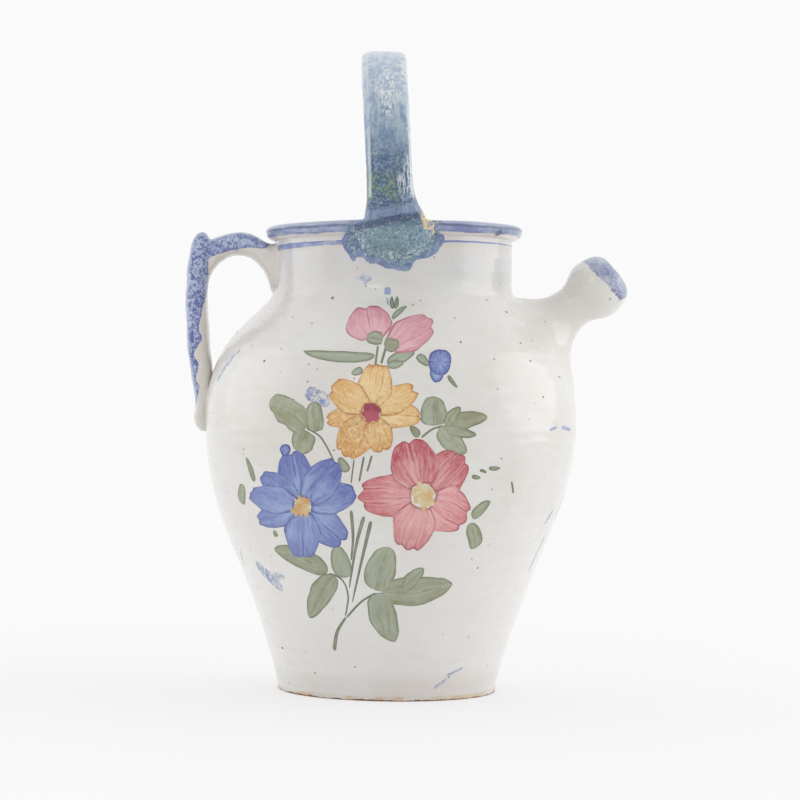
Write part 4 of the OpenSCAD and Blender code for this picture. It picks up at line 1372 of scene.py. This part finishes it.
def leaf_enamel(name, glazes, cover=0.92):
    """Thin green enamel, olive where it is thick, with darker outlines and veins along the stroke."""
    r = Finish(name)
    work, tone, edge, drawn = brush_inputs(r)
    u, v, _w = r.split(drawn)
    wash, streak = work["Wash"], work["Streak"]
    vein = r.both(r.fall(r.apart(r.math("FRACT", u), 0.5), 0.02, 0.06), r.rise(wash, 0.2, 0.6),
                  r.fall(v, 0.6, 0.9))
    base = r.mix(tone, r.mix(r.both(wash, 0.75), glazes.leaf, glazes.leaf_brown), glazes.leaf_blue)
    base = r.coats(base, (glazes.leaf_brown, r.patches(0.46, 0.60, 70, 4, 0.6, 0.4), r.rest(tone), 0.7),
                   ((132, 130, 88), r.rest(streak), r.rest(r.both(tone, 0.6)), 0.60),
                   ((186, 194, 174), streak, 0.45), ((192, 198, 178), work["Fine"], 0.30),
                   ((112, 124, 98), vein, 0.30),
                   ((110, 120, 86), r.fall(edge, 0.5, 2.0), r.rise(wash, -0.6, 0.6), 0.65),
                   ((88, 100, 74), work["Pool"], 0.80))
    return r.fire(base, 0.34, work["Pool"], 0.04, 0.5, 0.4, r.both(work["Cover"], cover))


def touch_enamel(name, dark, light):
    """Thin paint that the brush left broken."""
    r = Finish(name)
    work = brush_inputs(r)[0]
    solid = r.rest(r.both(r.attribute("bare"), r.rest(r.patches(0.38, 0.66, 300, 4, 0.75))))
    return r.fire(r.mix(work["Wash"], dark, light), 0.36, work["Pool"], 0.03, 0.5, 0.4,
                  r.both(work["Cover"], solid, 0.85))


def heart_enamel():
    """Yellow hearts, and the red one where the tone is high."""
    r = Finish("heart enamel")
    work, tone, _edge, _drawn = brush_inputs(r)
    wash = work["Wash"]
    base = r.coats(r.mix(wash, (222, 198, 152), (206, 156, 92)),
                   (r.mix(wash, (226, 212, 176), (214, 182, 122)), r.rise(tone, 0.2, 0.25)),
                   (r.mix(wash, (186, 84, 100), (150, 48, 72)), r.rise(tone, 0.6, 0.7)))
    return r.fire(base, 0.34, wash, 0.05, 0.5, 0.4, r.both(work["Cover"], 0.95))


def margin_enamel():
    """Violet blue at its lower edge, with the pad's own mottled blue-green run down over it."""
    r = Finish("margin enamel")
    work, _tone, edge, _drawn = brush_inputs(r)
    fine = r.noise(560, 4, 0.8)
    base = r.coats(r.mix(work["Wash"], (106, 122, 166), (142, 158, 186)),
                   (r.mix(r.rise(fine, 0.42, 0.56), (74, 100, 136), (146, 170, 186)),
                    r.rise(r.swayed(edge, 6, 150, 3), 2.2, 4.6)),
                   ((206, 220, 224), r.rise(fine, 0.60, 0.64), 0.8))
    return r.fire(base, 0.34, fine, 0.06, 0.5, 0.4, r.both(work["Cover"], 0.97))


def make_petals(skin, glazes):
    """The petals of the flowers and buds, with the round dabs beside the blue ones."""
    for name, (colours, stipple, groups) in FLOWERS.items():
        films = Films(skin, name, 0.08)
        for centre, inner, petals in groups:
            for petal in petals:
                films.petal(centre, inner, *petal)
        if name == "petals_blue":
            for place, radius, bare, tone in DABS:
                films.heart(place, radius, 3, 0.07, tone, bare)
        films.finish(petal_enamel(name.replace("_", " "), colours, stipple))


def make_hearts(skin, glazes):
    """The ragged dabs in the middle of the three flowers."""
    films = Films(skin, "flower_hearts", 0.15)
    for heart in HEARTS:
        films.heart(*heart)
    films.finish(heart_enamel())


def make_greenery(skin, glazes):
    """The stems, the leaves over them, and the leaves that lie over the petals."""
    stems = Films(skin, "stems", 0)
    for start, end, *places in STEMS:
        stems.stroke(places, stem_width(start, end), 0.8)
    stems.finish(leaf_enamel("stem enamel", glazes, 0.8))
    leaves = Films(skin, "leaves", 0.03)
    for k, (x0, y0, x1, y1, width) in enumerate(LEAVES):
        cool = 0.85 if y0 < 380 else 0.05 + 0.25 * ((k * 7) % 5) / 4 + (0.3 if y0 > 560 else 0)
        slender = width / math.hypot(x1 - x0, y1 - y0)
        shape = leaf_width(width * 1.12, 0.62 if slender > 0.56 else 0.85)
        leaves.line(x0, y0, x1, y1, shape, cool, 0.1, 0.04 * (-1) ** k, 0.32 if width > 27 else 0.12)
    leaves.lift += 0.16 * MM
    for *ends, width in UPPER_LEAVES:
        leaves.line(*ends, leaf_width(width * 1.1, 0.6), 0.3, 0.1, 0.04, 0.14)
    leaves.finish(leaf_enamel("leaf enamel", glazes))


def make_touches(skin, glazes):
    """The loose touches of blue, and the pinholes and kiln marks."""
    touches = Films(skin, "blue_touches", 0)
    for *ends, width, bare in TOUCHES:
        touches.line(*ends, dab_width(width), 0.5, bare)
    touches.finish(touch_enamel("blue touch enamel", (128, 150, 202), (190, 208, 228)))
    specks = Films(skin, "kiln_specks", 0)
    for x, y, width in SPECKS:
        specks.line(x - width / 2, y, x + width / 2, y, dab_width(width), 0.5, 0.3)
    *ends, width = CRACK
    specks.line(*ends, dab_width(width), 0.5, 0.1)
    specks.finish(touch_enamel("kiln speck", (116, 92, 70), (150, 124, 98)))


# Lower edge of the blue under the front pad, as pixel columns and rows, and its upper edge's row
MARGIN_EDGE = (
    (341, 241), (344, 248), (348, 254), (353, 261), (357, 257), (362, 257), (369, 263), (378, 264),
    (385, 268), (393, 269), (402, 271), (410, 270), (414, 262), (421, 259), (428, 258), (437, 253),
    (442, 246), (445, 240))
MARGIN_TOP = 232.6


def make_margins(skin, glazes):
    """Blue brushed round each pad on the neck; the rear one is the front one turned round."""
    films = Films(skin, "pad_margins", 0.05)
    left, right = MARGIN_EDGE[0][0], MARGIN_EDGE[-1][0]
    middle = (left + right) / 2

    def place(u, v):
        px = left + (right - left) * u
        low = smooth_row(MARGIN_EDGE, px)[0] + 0.9 * noise.noise(Vector((px / 3.2, 0, 0)))
        py = low + (MARGIN_TOP - low) * v
        px = middle + (px - middle) * (1 - 0.10 * v ** 2)
        margin = min(low - py + 0.02, px - left, right - px) * PIXEL
        return seen(px, py), max(0.0, margin)

    films.lay(place, 96, 24, 0.5, 0.15)
    alone(films.films[0])
    bpy.ops.object.duplicate()
    rear = bpy.context.object
    rear.data.transform(Matrix.Rotation(math.pi, 4, "Z"))
    films.films.append(rear)
    films.finish(margin_enamel())


# Stage

# Lamps as name, place, power, width and how much they shine on the glaze
LAMPS = (("window_left", (-1.2, 0.1, 0.5), 2.2, 1.2, 0.2), ("window_right", (1.2, 0.1, 0.5), 4.0, 1.2, 0.2),
         ("window_front", (-0.55, -1.5, 1.1), 1.2, 0.5, 0.35))


def make_stage(skin, glazes):
    """A pale floor and surroundings, soft lamps and the photograph's own camera."""
    scene = bpy.context.scene
    bpy.ops.object.select_all(action="DESELECT")
    bpy.ops.mesh.primitive_plane_add(size=8)
    floor = bpy.context.object
    floor.name = "floor"
    r = Finish("pale floor")
    *_place, radius = r.by_axis()
    plain = r.math("MULTIPLY_ADD", r.rise(radius, 120, 550), 0.45, 0.55)
    lit = r.add("ShaderNodeBsdfDiffuse", {"Color": (243.4, 243.4, 243.4)})
    glow = r.add("ShaderNodeEmission", {"Color": glazes.backdrop, "Strength": 1.0})
    shown = r.both(r.seen_by("Is Camera Ray", "Is Glossy Ray"), plain)
    r.put_out("ShaderNodeOutputMaterial", r.add("ShaderNodeMixShader", {0: shown, 1: lit, 2: glow}))
    floor.data.materials.append(r.material)

    world = bpy.data.worlds.new("surroundings")
    world.use_nodes = True
    world.node_tree.nodes.clear()
    scene.world = world
    w = Recipe(world.node_tree)
    away = w.split(w.add("ShaderNodeTexCoord", outlet="Generated"))[1]
    soft = w.add("ShaderNodeBackground",
                 {"Color": (255, 255, 255), "Strength": w.math("MULTIPLY_ADD", away, 0.24, 0.90)})
    white = w.add("ShaderNodeBackground", {"Color": glazes.backdrop, "Strength": 1.0})
    shown = w.seen_by("Is Camera Ray", "Is Glossy Ray", "Is Transmission Ray")
    w.put_out("ShaderNodeOutputWorld", w.add("ShaderNodeMixShader", {0: shown, 1: soft, 2: white}))

    for name, place, watts, width, gloss in LAMPS:
        bpy.ops.object.light_add(type="AREA", location=place)
        lamp = bpy.context.object
        lamp.name = name
        lamp.data.energy = watts
        lamp.data.shape = "DISK"
        lamp.data.size = width
        lamp.data.specular_factor = gloss
        aim = Vector((0, 0, 0.15)) - Vector(place)
        lamp.rotation_euler = aim.to_track_quat("-Z", "Y").to_euler()

    camera = bpy.data.objects.new("camera", bpy.data.cameras.new("camera"))
    scene.collection.objects.link(camera)
    camera.data.lens = LENS
    camera.data.sensor_width = 36
    camera.data.clip_start, camera.data.clip_end = 0.01, 50
    camera.matrix_world = (Matrix.Translation(VIEWPOINT) @ Matrix.Rotation(VIEW_ROLL, 4, "Y").inverted()
                           @ Matrix.Rotation(math.pi / 2, 4, "X"))
    scene.camera = camera
    scene.view_settings.view_transform = "Standard"


class JugStep:
    """What every step of the jug shares."""

    bl_options = {"REGISTER", "UNDO"}
    build = None

    def execute(self, context):
        type(self).build(Skin(context.scene.jug_forming), context.scene.jug_glazes)
        return {"FINISHED"}


class JUG_OT_vessel(JugStep, Operator):
    """Throw and glaze the belly and the neck"""

    bl_idname = "jug.vessel"
    bl_label = "Vessel"
    build = make_vessel


class JUG_OT_rim(JugStep, Operator):
    """Throw and glaze the rolled rim"""

    bl_idname = "jug.rim"
    bl_label = "Rim"
    build = make_rim


class JUG_OT_foot(JugStep, Operator):
    """Cut the bare clay foot"""

    bl_idname = "jug.foot"
    bl_label = "Foot"
    build = make_foot


class JUG_OT_spout(JugStep, Operator):
    """Lute on the trumpet spout"""

    bl_idname = "jug.spout"
    bl_label = "Spout"
    build = make_spout


class JUG_OT_side_handle(JugStep, Operator):
    """Pull the side handle and knead it on"""

    bl_idname = "jug.side_handle"
    bl_label = "Side Handle"
    build = make_side_handle


class JUG_OT_basket_handle(JugStep, Operator):
    """Pull the basket handle and press its pads on the rim"""

    bl_idname = "jug.basket_handle"
    bl_label = "Basket Handle"
    build = make_basket_handle


class JUG_OT_margins(JugStep, Operator):
    """Brush blue round the pads"""

    bl_idname = "jug.margins"
    bl_label = "Pad Margins"
    build = make_margins


class JUG_OT_greenery(JugStep, Operator):
    """Paint the leaves and the stems"""

    bl_idname = "jug.greenery"
    bl_label = "Leaves and Stems"
    build = make_greenery


class JUG_OT_petals(JugStep, Operator):
    """Paint the petals of the flowers and buds"""

    bl_idname = "jug.petals"
    bl_label = "Petals"
    build = make_petals


class JUG_OT_hearts(JugStep, Operator):
    """Dab the hearts of the flowers"""

    bl_idname = "jug.hearts"
    bl_label = "Flower Hearts"
    build = make_hearts


class JUG_OT_touches(JugStep, Operator):
    """Add the loose touches of blue and the kiln specks"""

    bl_idname = "jug.touches"
    bl_label = "Touches and Specks"
    build = make_touches


class JUG_OT_stage(JugStep, Operator):
    """Set up the pale floor, the lamps and the camera"""

    bl_idname = "jug.stage"
    bl_label = "Stage"
    build = make_stage


STEPS = (JUG_OT_vessel, JUG_OT_rim, JUG_OT_foot, JUG_OT_spout, JUG_OT_side_handle, JUG_OT_basket_handle,
         JUG_OT_margins, JUG_OT_greenery, JUG_OT_petals, JUG_OT_hearts, JUG_OT_touches, JUG_OT_stage)


class JUG_PT_workshop(Panel):
    """Every step of the jug, with its sizes and colours"""

    bl_idname = "JUG_PT_workshop"
    bl_label = "Painted Water Jug"
    bl_space_type = "VIEW_3D"
    bl_region_type = "UI"
    bl_category = "Jug"

    def draw(self, context):
        for settings in (context.scene.jug_forming, context.scene.jug_glazes):
            box = self.layout.box()
            for name in settings.__annotations__:
                box.prop(settings, name)
        column = self.layout.column(align=True)
        for step in STEPS:
            column.operator(step.bl_idname)


CLASSES = (JugForming, JugGlazes, *STEPS, JUG_PT_workshop)


def register():
    for cls in CLASSES:
        bpy.utils.register_class(cls)
    bpy.types.Scene.jug_forming = PointerProperty(type=JugForming)
    bpy.types.Scene.jug_glazes = PointerProperty(type=JugGlazes)


def unregister():
    del bpy.types.Scene.jug_forming
    del bpy.types.Scene.jug_glazes
    for cls in reversed(CLASSES):
        bpy.utils.unregister_class(cls)


def main():
    """Builds every piece and the stage."""
    register()
    bpy.ops.object.select_all(action="DESELECT")
    for step in STEPS:
        family, name = step.bl_idname.split(".")
        getattr(getattr(bpy.ops, family), name)()


if __name__ == "__main__":
    main()
